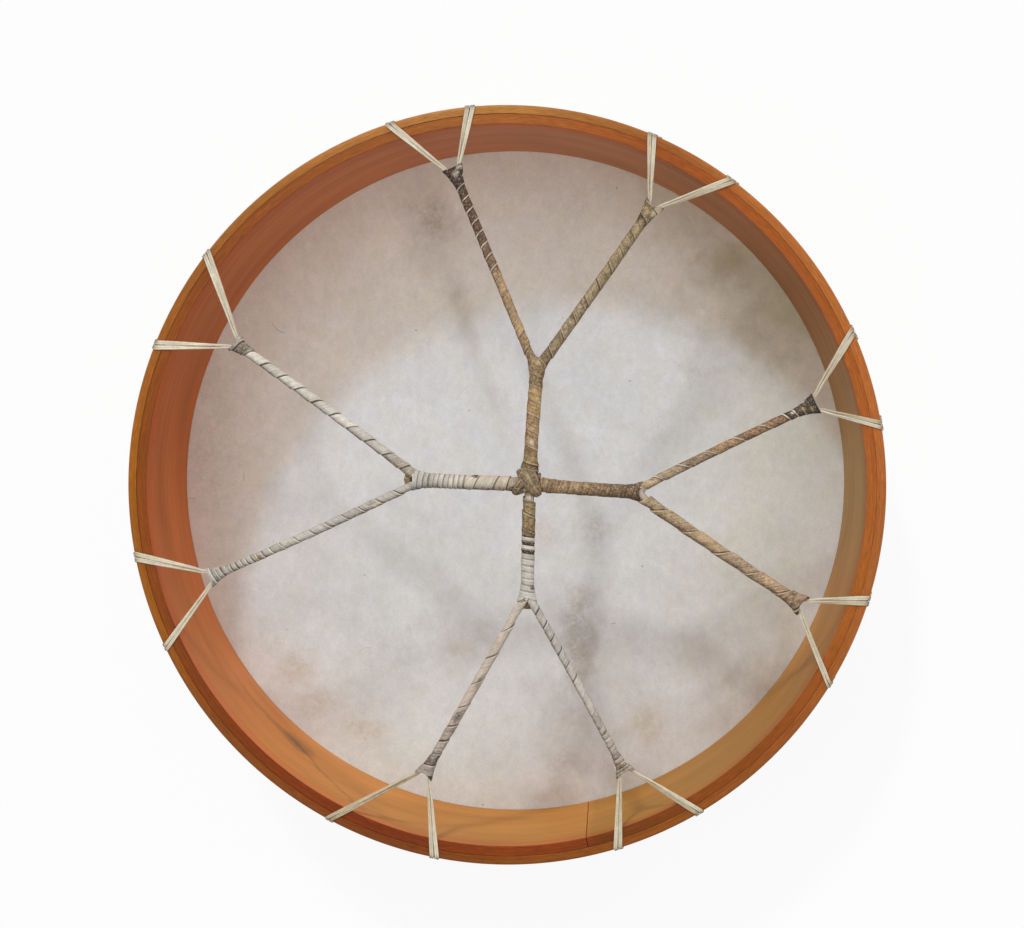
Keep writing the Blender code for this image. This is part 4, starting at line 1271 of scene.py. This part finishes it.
# How each trunk and branch is wrapped: hand of the winding, fullness and strip thickness in mm, a seed,
# colour of the cut edge, pitch in mm and tints along the rod, how strongly the cut edge and the dark
# groove beside it show along the rod, and patches
WRAPS = {
    "north": Wrap(
        hand=-1, fullness=0.75, thickness=0.22, seed=1, edge="d9cba8",
        pitches=((0, 2.6), (0.14, 2.8), (0.17, 9), (0.6, 8), (1, 5)),
        tints=(
            (0.0, "70593e"), (0.1, "785f42"), (0.2, "a0845c"), (0.35, "c4a078"), (0.5, "a8885e"),
            (0.66, "c09e6e"), (0.72, "7c6448"), (0.8, "8c7452"), (0.88, "a08560"), (1.0, "a88e66"),
        ),
        strengths=((0, 0.2), (0.2, 0.5), (0.6, 0.8), (0.85, 0.3), (1, 0)),
        grooves=((0, 0.7), (0.15, 0.7), (0.2, 0.35), (1, 0.2)),
        patches=(Patch(22, -0.1, 2.2, 0.35, "d8cbb0"),),
    ),
    "east": Wrap(
        hand=-1, fullness=0.75, thickness=0.2, seed=2, edge="b09a74",
        pitches=((0, 5), (1, 6)),
        tints=(
            (0.0, "b69c76"), (0.05, "b69c76"), (0.12, "8c7454"), (0.25, "aa8c68"), (0.33, "b89a74"),
            (0.4, "a88a66"), (0.55, "927658"), (0.7, "7c6248"), (0.85, "785e44"), (0.93, "5e4a34"),
            (1.0, "564430"),
        ),
        strengths=((0, 0.3), (1, 0.2)),
        grooves=0.35,
    ),
    "south": Wrap(
        hand=-1, fullness=0.6, thickness=0.25, seed=3, edge="d8d0c2",
        pitches=((0, 6), (0.14, 6), (0.2, 9), (0.4, 8), (0.43, 2.2), (0.58, 2.2), (0.62, 3.4), (1, 3.4)),
        tints=(
            (0.0, "bca67c"), (0.2, "8a744e"), (0.42, "6a573c"), (0.44, "d0c8bc"), (0.47, "d0c8bc"),
            (0.48, "3e3024"), (0.51, "3e3024"), (0.52, "d6cfc4"), (0.545, "d6cfc4"), (0.555, "46382c"),
            (0.585, "46382c"), (0.595, "c8c2b8"), (0.9, "cec8bf"), (1.0, "d6d0c4"),
        ),
        strengths=0.3,
        grooves=((0, 0.6), (0.5, 0.8), (0.62, 0.55), (1, 0.5)),
        patches=(Patch(54, 0.8, 2.5, 0.4, "3c3026"),),
    ),
    "west": Wrap(
        hand=-1, fullness=0.9, thickness=0.3, seed=4, edge="e8e0cd",
        pitches=((0, 5), (0.25, 6), (0.3, 11), (0.5, 9), (0.57, 2.7), (0.9, 2.6), (1, 4)),
        tints=(
            (0.0, "96866f"), (0.14, "b3a690"), (0.26, "c6bba8"), (0.4, "cbc2b0"), (0.62, "c6bfb2"),
            (0.85, "c6c2b8"), (1.0, "c8c6be"),
        ),
        strengths=((0, 0.3), (1, 0.25)),
        grooves=((0, 0.6), (0.3, 0.85), (0.55, 0.6), (1, 0.6)),
        patches=(
            Patch(7, 0.8, 6, 0.6, "5c4836"), Patch(21, 0.9, 3, 0.3, "4d3d30"),
            Patch(28, -0.9, 3, 0.3, "4d3d30"),
        ),
    ),
    "north_west": Wrap(
        hand=1, fullness=0.35, thickness=0.22, seed=5, edge="e6dcc4",
        pitches=((0, 9), (0.5, 6.5), (0.9, 6.5), (1, 3.5)),
        tints=(
            (0.0, "ae906a"), (0.3, "c09c72"), (0.42, "a98b64"), (0.52, "846850"), (0.66, "664a3a"),
            (0.84, "543f38"), (0.9, "46302a"), (1.0, "332722"),
        ),
        strengths=((0, 0.2), (0.4, 0.3), (0.52, 0.95), (0.905, 0.95), (0.93, 0), (1, 0)),
        grooves=((0, 0.3), (1, 0.4)),
        patches=(Patch(105.5, -0.1, 4.5, 0.5, "a39a8c"), Patch(108.5, -0.7, 2, 0.4, "c9c0ae")),
    ),
    "north_east": Wrap(
        hand=-1, fullness=0.75, thickness=0.22, seed=6, edge="d0be98",
        pitches=((0, 5), (0.08, 11), (0.88, 10), (1, 4)),
        tints=(
            (0.0, "8a765a"), (0.15, "a69272"), (0.3, "988468"), (0.45, "a8936f"), (0.7, "a48f6c"),
            (0.85, "ac946c"), (1.0, "947a5a"),
        ),
        strengths=0.5,
        grooves=0.75,
        patches=(Patch(90, 0.7, 6, 0.5, "2e251b"), Patch(97, -0.7, 8, 0.45, "c8b898")),
    ),
    "east_north": Wrap(
        hand=1, fullness=0.3, thickness=0.22, seed=7, edge="e8e0cc",
        pitches=((0, 11), (0.12, 12), (0.2, 16), (0.76, 15), (0.83, 5), (1, 3)),
        tints=(
            (0.0, "c4a888"), (0.2, "a08a70"), (0.35, "967e66"), (0.5, "ac8862"), (0.65, "9c785a"),
            (0.79, "805e46"), (0.84, "4a3c30"), (1.0, "2c241c"),
        ),
        strengths=((0, 0.8), (0.86, 0.95), (0.9, 0.3), (1, 0)),
        grooves=0.5,
        patches=(
            Patch(91, 0.1, 3, 0.4, "a48e56"), Patch(95, -0.35, 2.5, 0.35, "94804c"),
            Patch(86, 0.4, 2.5, 0.4, "ddd6c6"),
        ),
    ),
    "east_south": Wrap(
        hand=-1, fullness=0.4, thickness=0.6, seed=8, edge="d6c6a4",
        pitches=((0, 7), (0.07, 9), (0.1, 20), (0.88, 18), (1, 5)),
        tints=(
            (0.0, "b8a07e"), (0.3, "ba9d7a"), (0.42, "c4a888"), (0.65, "b69878"), (0.86, "a4866a"),
            (0.92, "68513e"), (1.0, "4e3c2e"),
        ),
        strengths=0.6,
        grooves=1,
    ),
    "south_east": Wrap(
        hand=1, fullness=0.1, thickness=0.2, seed=9, edge="e0d8ca",
        pitches=((0, 8), (0.45, 8), (0.52, 12), (0.7, 9), (0.76, 2.6), (1, 2.2)),
        tints=(
            (0.0, "c4bdb4"), (0.25, "b2aaa4"), (0.5, "bfb7af"), (0.7, "baaea5"), (0.9, "aca095"),
            (1.0, "a09182"),
        ),
        strengths=0.3,
        grooves=((0, 1), (0.42, 1), (0.5, 0.35), (0.75, 0.4), (0.85, 0.55), (1, 0.6)),
        patches=(Patch(98, -0.1, 3.5, 0.4, "6a4f33"), Patch(78, 0.3, 2, 0.5, "7d6648")),
    ),
    "south_west": Wrap(
        hand=1, fullness=0.15, thickness=0.35, seed=10, edge="e2dac8",
        pitches=((0, 17), (0.55, 15), (0.75, 9), (1, 6)),
        tints=(
            (0.0, "cabfb0"), (0.15, "c6b8aa"), (0.3, "ccbeb0"), (0.45, "baaa9c"), (0.55, "beac9e"),
            (0.7, "ae9f94"), (0.8, "b6a89e"), (0.88, "786b63"), (0.93, "7e7168"), (0.97, "beb2a8"),
            (1.0, "beb2a8"),
        ),
        strengths=0.35,
        grooves=((0, 0.9), (1, 0.95)),
        patches=(
            Patch(94, -0.2, 7, 0.7, "8f8680"), Patch(69, 0.0, 6, 0.7, "8a817b"),
            Patch(48, 0.3, 5, 0.5, "98907f"),
        ),
    ),
    "west_south": Wrap(
        hand=1, fullness=0.15, thickness=0.25, seed=11, edge="e6dfca",
        pitches=((0, 11), (0.6, 9), (0.75, 3.2), (1, 2.6)),
        tints=(
            (0.0, "b9b4aa"), (0.3, "aca69d"), (0.45, "c6c2ba"), (0.6, "b8b3aa"), (0.7, "b2aca2"),
            (1.0, "b6b0a6"),
        ),
        strengths=0.6,
        grooves=((0, 0.7), (1, 0.75)),
        patches=(Patch(92, 0.1, 5, 0.5, "b3a27c"), Patch(22, 0.4, 6, 0.4, "d9c9ae")),
    ),
    "west_north": Wrap(
        hand=-1, fullness=0.05, thickness=0.5, seed=12, edge="eae2cf",
        pitches=((0, 5), (0.08, 12), (0.88, 11), (1, 4)),
        tints=(
            (0.0, "b0a494"), (0.18, "d2cbc2"), (0.32, "d2cbc0"), (0.45, "d2ccc0"), (0.7, "d8d2c6"),
            (0.84, "d0c9bd"), (0.9, "968e82"), (0.95, "a0988c"), (1.0, "c8c0b2"),
        ),
        strengths=0.3,
        grooves=1,
    ),
}
BROWN = ("north", "east", "north_west", "north_east", "east_north", "east_south")

# The web between the branches of each fork
Web = namedtuple("Web", "reach half_thickness half_height level tint")
WEBS = {
    "north": Web(-0.8 * MM, 3.2 * MM, 2.6 * MM, 0.2 * MM, "ac946e"),
    "east": Web(-0.8 * MM, 2.2 * MM, 2.0 * MM, 0.0, "c0b2a2"),
    "south": Web(2.0 * MM, 1.9 * MM, 1.2 * MM, -0.8 * MM, "7a5c40"),
    "west": Web(3.0 * MM, 2.4 * MM, 1.3 * MM, -0.6 * MM, "9a8656"),
}
WEB_STEPS = 6
WEB_SIDES = 12
WEB_END_THIN = 0.45
WEB_END_LOW = 0.6


def add_web(shape, fork, ahead, ends, web):
    """A short strip that runs down one branch, round the crotch and up the other."""
    crotch = fork + ahead * web.reach
    inner = [corner + way * WEB_RUN / 2 for corner, way in ends]
    outer = [corner + way * WEB_RUN for corner, way in ends]
    path = spline([outer[0], inner[0], crotch, inner[1], outer[1]], WEB_STEPS) + UP * web.level
    along = np.gradient(path, axis=0)
    aside = np.cross(along, UP)
    aside = aside / np.linalg.norm(aside, axis=1)[:, None]
    corner = np.linspace(0, TURN, WEB_SIDES + 1)[:-1]
    steps = np.arange(len(path))
    thin = np.interp(steps, (0, len(path) // 2, len(path) - 1), (WEB_END_THIN, 1, WEB_END_THIN))[:, None]
    low = WEB_END_LOW + (1 - WEB_END_LOW) * thin
    half_width = thin * web.half_thickness * np.cos(corner)
    half_height = web.half_height * np.sin(corner) * low
    rings = path[:, None] + aside[:, None] * half_width[..., None] + UP * half_height[..., None]
    shape.sweep_strip(rings, shade(web.tint), web.tint, (steps[:, None] * MM, half_height, 0))


# Centre: strips wound both ways over the crossing

LASHING_STEPS = 36
LASHING_THICKNESS = 0.9 * MM

# A lashing's section is in shares of half its width and of its thickness
LASHING_SECTION = np.array((
    (-1, 0.1), (-0.93, 0.75), (-0.72, 1.0), (0, 1.1), (0.72, 1.0), (0.93, 0.75), (1, 0.1),
    (0.5, 0), (-0.5, 0),
))
LASHING_EDGE = np.array((0, 0.1, 0.2, 0, 0.2, 0.1, 0, 0, 0))
# Painted shade along the lashing's sides and under it
LASHING_GROOVE = np.array((0.8, 0.6, 0.05, 0, 0.05, 0.6, 0.8, 0.9, 0.9))
LASHING_TINTS = ((0.0, "766048"), (0.3, "988263"), (0.55, "624c3a"), (0.8, "887258"), (1.0, "766048"))
LASHING_EDGE_TINT = "c8b48a"
# Painted shade on the lashings' south-west side, away from the light
LASHING_SHADE_TINT = "4a3226"
LASHING_SHADE_SIDE = 240
LASHING_SHADE_RANGE = (1 * MM, 6 * MM)
LASHING_SHADE_DARK = 0.8
LASHING_PINCH = 0.35
LASHING_ROUND = 0.8

# Unevenness of the turns: how far each sways, and how fast in radians a turn
LASHING_ROW_SWAY = (0.5 * MM, 3.1)
LASHING_CLIMB_SWAY = (0.35 * MM, 2.4)
LASHING_WIDTH_SWAY = (0.25, 1.3)
LASHING_TILT_SWAY = (10, 2.1)
LASHING_LUMP = 0.35 * MM
LASHING_LUMP_SIZE = 2.5 * MM

# Tints along a lashing: shares of the round of tints in each turn and for each seed, and its blotches
LASHING_TINT_STEP = 0.37
LASHING_TINT_SEED = 0.3
LASHING_BLOTCH = 0.45
LASHING_BLOTCH_SIZE = 2.2 * MM
LASHING_BLOTCH_SEED = 5

Lashing = namedtuple("Lashing", "degrees turns pitch width reach rise middle seed")
LASHINGS = {
    "inner": Lashing(40, 3, 2.2 * MM, 3.4 * MM, 7.8 * MM, 3.7 * MM, (-1.5 * MM, 0.6 * MM), 21),
    "outer": Lashing(122, 3, 2.4 * MM, 3.8 * MM, 7.8 * MM, 4.2 * MM, (0.6 * MM, 1.3 * MM), 22),
}

# The bundles under the lashing: direction and height above the lacing's level
CROSSING_LENGTH = 12 * MM
CROSSING_SECTION = (2.4 * MM, 2.2 * MM)
CROSSING_BUNDLES = ((87.5, 1.0 * MM), (177, -1.0 * MM))


def slow_wave(size_and_speed, steps, shift):
    """A slow wave along the turns of a lashing."""
    size, speed = size_and_speed
    return size * np.sin(speed * steps + shift)


def boxed(wave):
    """A sine or cosine wave made a little fuller, so that the turns are less round."""
    return np.sign(wave) * np.abs(wave) ** LASHING_ROUND


def make_lashing(name, lashing, material):
    """A strip wound over and under the crossing along one diagonal, drawn together between the trunks."""
    seed = lashing.seed
    steps = np.arange(lashing.turns * LASHING_STEPS + 1) / LASHING_STEPS
    angle = (TURN * steps - math.pi / 2)[:, None]
    row = (lashing.pitch * (steps - lashing.turns / 2) + slow_wave(LASHING_ROW_SWAY, steps, seed))[:, None]
    lift = LASHING_SECTION[:, 1] * LASHING_THICKNESS + slow_wave(LASHING_CLIMB_SWAY, steps, seed)[:, None]
    reach = (lashing.reach + lift) * boxed(np.cos(angle))
    height = (lashing.rise + lift) * boxed(np.sin(angle))
    width = lashing.width * (1 + slow_wave(LASHING_WIDTH_SWAY, steps, 2 * seed))[:, None]
    pinch = 1 - LASHING_PINCH * np.cos(angle) ** 2
    side = (row + LASHING_SECTION[:, 0] * width / 2) * pinch
    turned = np.radians(lashing.degrees + slow_wave(LASHING_TILT_SWAY, steps, seed))
    along = np.stack((np.cos(turned), np.sin(turned), 0 * turned), axis=-1)[:, None]
    across = np.cross(UP, along)
    middle = KNOT + np.array((*lashing.middle, 0))
    rings = middle + reach[..., None] * along + side[..., None] * across + height[..., None] * UP
    lump = LASHING_LUMP * rough(rings, LASHING_LUMP_SIZE, seed)
    rings = rings + lump[..., None] * (along + UP)
    share = (steps * LASHING_TINT_STEP + seed * LASHING_TINT_SEED) % 1
    blotch = LASHING_BLOTCH * rough(rings, LASHING_BLOTCH_SIZE, seed + LASHING_BLOTCH_SEED)
    tint = blend_stops(LASHING_TINTS, share)[:, None] * (1 + blotch)[..., None]
    # Painted shade: darker on the side away from the light
    low = smooth((rings - KNOT) @ polar(1, LASHING_SHADE_SIDE), *LASHING_SHADE_RANGE)
    tint = towards(tint, LASHING_SHADE_TINT, LASHING_SHADE_DARK * low)
    strip = (4 * lashing.reach * steps[:, None], LASHING_SECTION[:, 0] * lashing.width / 2, 0)
    shape = Shape()
    shape.sweep_strip(
        rings, tint, LASHING_EDGE_TINT, strip, edge=LASHING_EDGE, groove=LASHING_GROOVE,
    )
    shape.build(f"lashing_{name}", material, "brown_wrap", [f"centre_lashing_{name}"])


def make_crossing(material):
    """The strands under the lashing: two short bundles that cross."""
    shape = Shape()
    half = CROSSING_LENGTH / 2
    for degrees, lift in CROSSING_BUNDLES:
        ahead = polar(1, degrees)
        left = polar(1, degrees + 90)
        origin = KNOT - ahead * half + UP * lift
        stations = np.array([(x, *CROSSING_SECTION) for x in (-half, 0, CROSSING_LENGTH)])
        rod = Rod(origin, ahead, left, CROSSING_LENGTH, stations, 0.0, TAIL_NOTCH)
        strands(shape, rod, 0.0, BRANCH_STRANDS, CORE_TINTS["brown"])
    shape.build("crossing", material, "lace", ["centre_bundle"])


# Lacing: trunks, branches and laces


def make_lacing():
    lace_finish = strip_paint("lace", LACE_FINISH)
    pale = strip_paint("pale_wrap", PALE_FINISH)
    brown = strip_paint("brown_wrap", PALE_FINISH)
    for arm in ARMS:
        ahead = polar(1, arm.angle)
        left = np.cross(UP, ahead)
        stations = trunk_stations(arm.length, FLARES[arm.name])
        rod = Rod(KNOT, ahead, left, arm.length, stations, BOWS[arm.name], TAIL_NOTCH)
        fork = KNOT + ahead * arm.length
        ends = []
        for branch, side in zip(arm.branches, (1, -1)):
            corner = fork + left * side * (TRUNK_TAIL[1] - BRANCH_RADIUS)
            way = add_branch(branch, corner, brown if branch.name in BROWN else pale, lace_finish)
            ends.append((corner, way))
        wrap_end = rod.length + TRUNK_WRAP_LAP[arm.name]
        cover = wind(rod, TRUNK_WRAP_START[arm.name], wrap_end, WRAPS[arm.name])
        add_web(cover, fork, ahead, ends, WEBS[arm.name])
        finish = brown if arm.name in BROWN else pale
        add_rod(arm.name, "trunk", rod, cover, TRUNK_CORE_START, TRUNK_STRANDS, finish, lace_finish)
    make_crossing(lace_finish)
    for name, lashing in LASHINGS.items():
        make_lashing(name, lashing, brown)


def add_rod(name, kind, rod, cover, core_start, count, finish, lace_finish):
    """A bundle of strands and the strip wound round it."""
    core = Shape()
    strands(core, rod, core_start, count, CORE_TINTS["brown" if name in BROWN else "pale"])
    core.build(f"{kind}_strands_{name}", lace_finish, "lace", [f"{kind}_bundle_{name}"])
    slot = "brown_wrap" if name in BROWN else "pale_wrap"
    cover.build(f"{kind}_strip_{name}", finish, slot, [f"{kind}_wrap_{name}"])


def add_branch(branch, corner, finish, lace_finish):
    """A wrapped branch from its corner of the trunk's fishtail to its tip, and the tip's two laces."""
    tip = polar(RIM - branch.inset, branch.tip_angle, LACE_LEVEL)
    ahead = unit(tip - corner)
    left = np.cross(UP, ahead)
    length = float(np.linalg.norm(tip - corner))
    stations = branch_stations(length, branch.tail)
    rod = Rod(corner, ahead, left, length, stations, BOWS[branch.name], branch.notch)
    cover = wind(rod, -FORK_LAP, length - BRANCH_WRAP_SHORT, WRAPS[branch.name])
    add_rod(branch.name, "branch", rod, cover, BRANCH_CORE_START, BRANCH_STRANDS, finish, lace_finish)
    for number, (tie, side) in enumerate(zip(branch.ties, (1, -1)), start=1):
        start = tip + left * side * (branch.tail - LACE_END_INSET)
        back = -ahead * LACE_END_BACK - left * side * LACE_END_IN
        name = f"{branch.name}_{number}"
        lace(f"lace_{name}", f"lace_loop_{name}", tie, start, back, lace_finish)
    return ahead


# Stage: floor, light and camera

CAMERA_PLACE = (60.83 * MM, 29.89 * MM, 774.05 * MM)
CAMERA_TURN = (-1.421, 4.391, 0)
CAMERA_LENS = 47.24
SENSOR_WIDTH = 36
FLOOR_HALF = 6.0
FLOOR_TINT = (0.85, 0.85, 0.85)
FLOOR_WHITENED = 0.86
WHITE = (1, 1, 1)
SKY_LEVEL = 0.8
SKY_LEAN = 0.1

# Lamps: direction to the lamp, strength and how wide it is, in degrees
Lamp = namedtuple("Lamp", "azimuth elevation strength spread")
LAMPS = {"key": Lamp(110, 36.4, 1.1, 7.5), "low": Lamp(51, 14, 0.4, 6)}


def seen_directly(paint):
    """1 for what the camera sees directly or in a mirror or glass, 0 for light on the object."""
    path = paint.node("LightPath")
    total = paint.math("MAXIMUM", path.outputs["Is Camera Ray"], path.outputs["Is Glossy Ray"])
    return paint.math("MAXIMUM", total, path.outputs["Is Transmission Ray"])


def make_floor():
    mesh = bpy.data.meshes.new("floor")
    corners = [(x * FLOOR_HALF, y * FLOOR_HALF, 0) for x, y in ((-1, -1), (1, -1), (1, 1), (-1, 1))]
    mesh.from_pydata(corners, [], [(0, 1, 2, 3)])
    floor = add_object("floor", mesh)
    paint = Paint("pale_floor", Roughness=1.0)
    paint.put(paint.shader.inputs["Base Color"], FLOOR_TINT)
    glow = paint.node("Emission", {"Color": WHITE, "Strength": 1.0})
    share = paint.times(seen_directly(paint), FLOOR_WHITENED)
    mixed = paint.node("MixShader", {0: share, 1: paint.shader.outputs[0], 2: glow.outputs[0]})
    paint.put(paint.tree.nodes["Material Output"].inputs["Surface"], mixed.outputs[0])
    mesh.materials.append(paint.material)


def make_sky():
    """Soft light from all round, brighter from the north, on a background that shows white."""
    world = bpy.data.worlds.new("studio")
    bpy.context.scene.world = world
    paint = Nodes(world)
    direction = paint.node("TexCoord").outputs["Generated"]
    north = paint.node("SeparateXYZ", {0: direction}).outputs["Y"]
    level = paint.levels(north, -1, 1, SKY_LEVEL * (1 - SKY_LEAN), SKY_LEVEL * (1 + SKY_LEAN))
    white = paint.node("Background", {"Color": WHITE, "Strength": 1.0})
    light = paint.node("Background", {"Color": WHITE, "Strength": level})
    mixed = paint.node("MixShader", {0: seen_directly(paint), 1: light.outputs[0], 2: white.outputs[0]})
    paint.put(paint.tree.nodes["World Output"].inputs["Surface"], mixed.outputs[0])


def make_lamp(name, lamp):
    light = bpy.data.lights.new(name, "SUN")
    light.energy = lamp.strength
    light.angle = math.radians(lamp.spread)
    elevation = math.radians(lamp.elevation)
    away = Vector(polar(math.cos(elevation), lamp.azimuth, math.sin(elevation)))
    obj = add_object(name, light)
    obj.rotation_mode = "QUATERNION"
    obj.rotation_quaternion = away.to_track_quat("Z", "Y")


def make_camera():
    data = bpy.data.cameras.new("camera")
    data.lens = CAMERA_LENS
    data.sensor_width = SENSOR_WIDTH
    camera = add_object("camera", data)
    camera.location = CAMERA_PLACE
    camera.rotation_euler = [math.radians(angle) for angle in CAMERA_TURN]
    bpy.context.scene.camera = camera


make_camera()
make_hoop()
make_head()
make_lacing()
make_floor()
make_sky()
for lamp_name, lamp in LAMPS.items():
    make_lamp(lamp_name, lamp)
bpy.context.scene.view_settings.view_transform = "Standard"
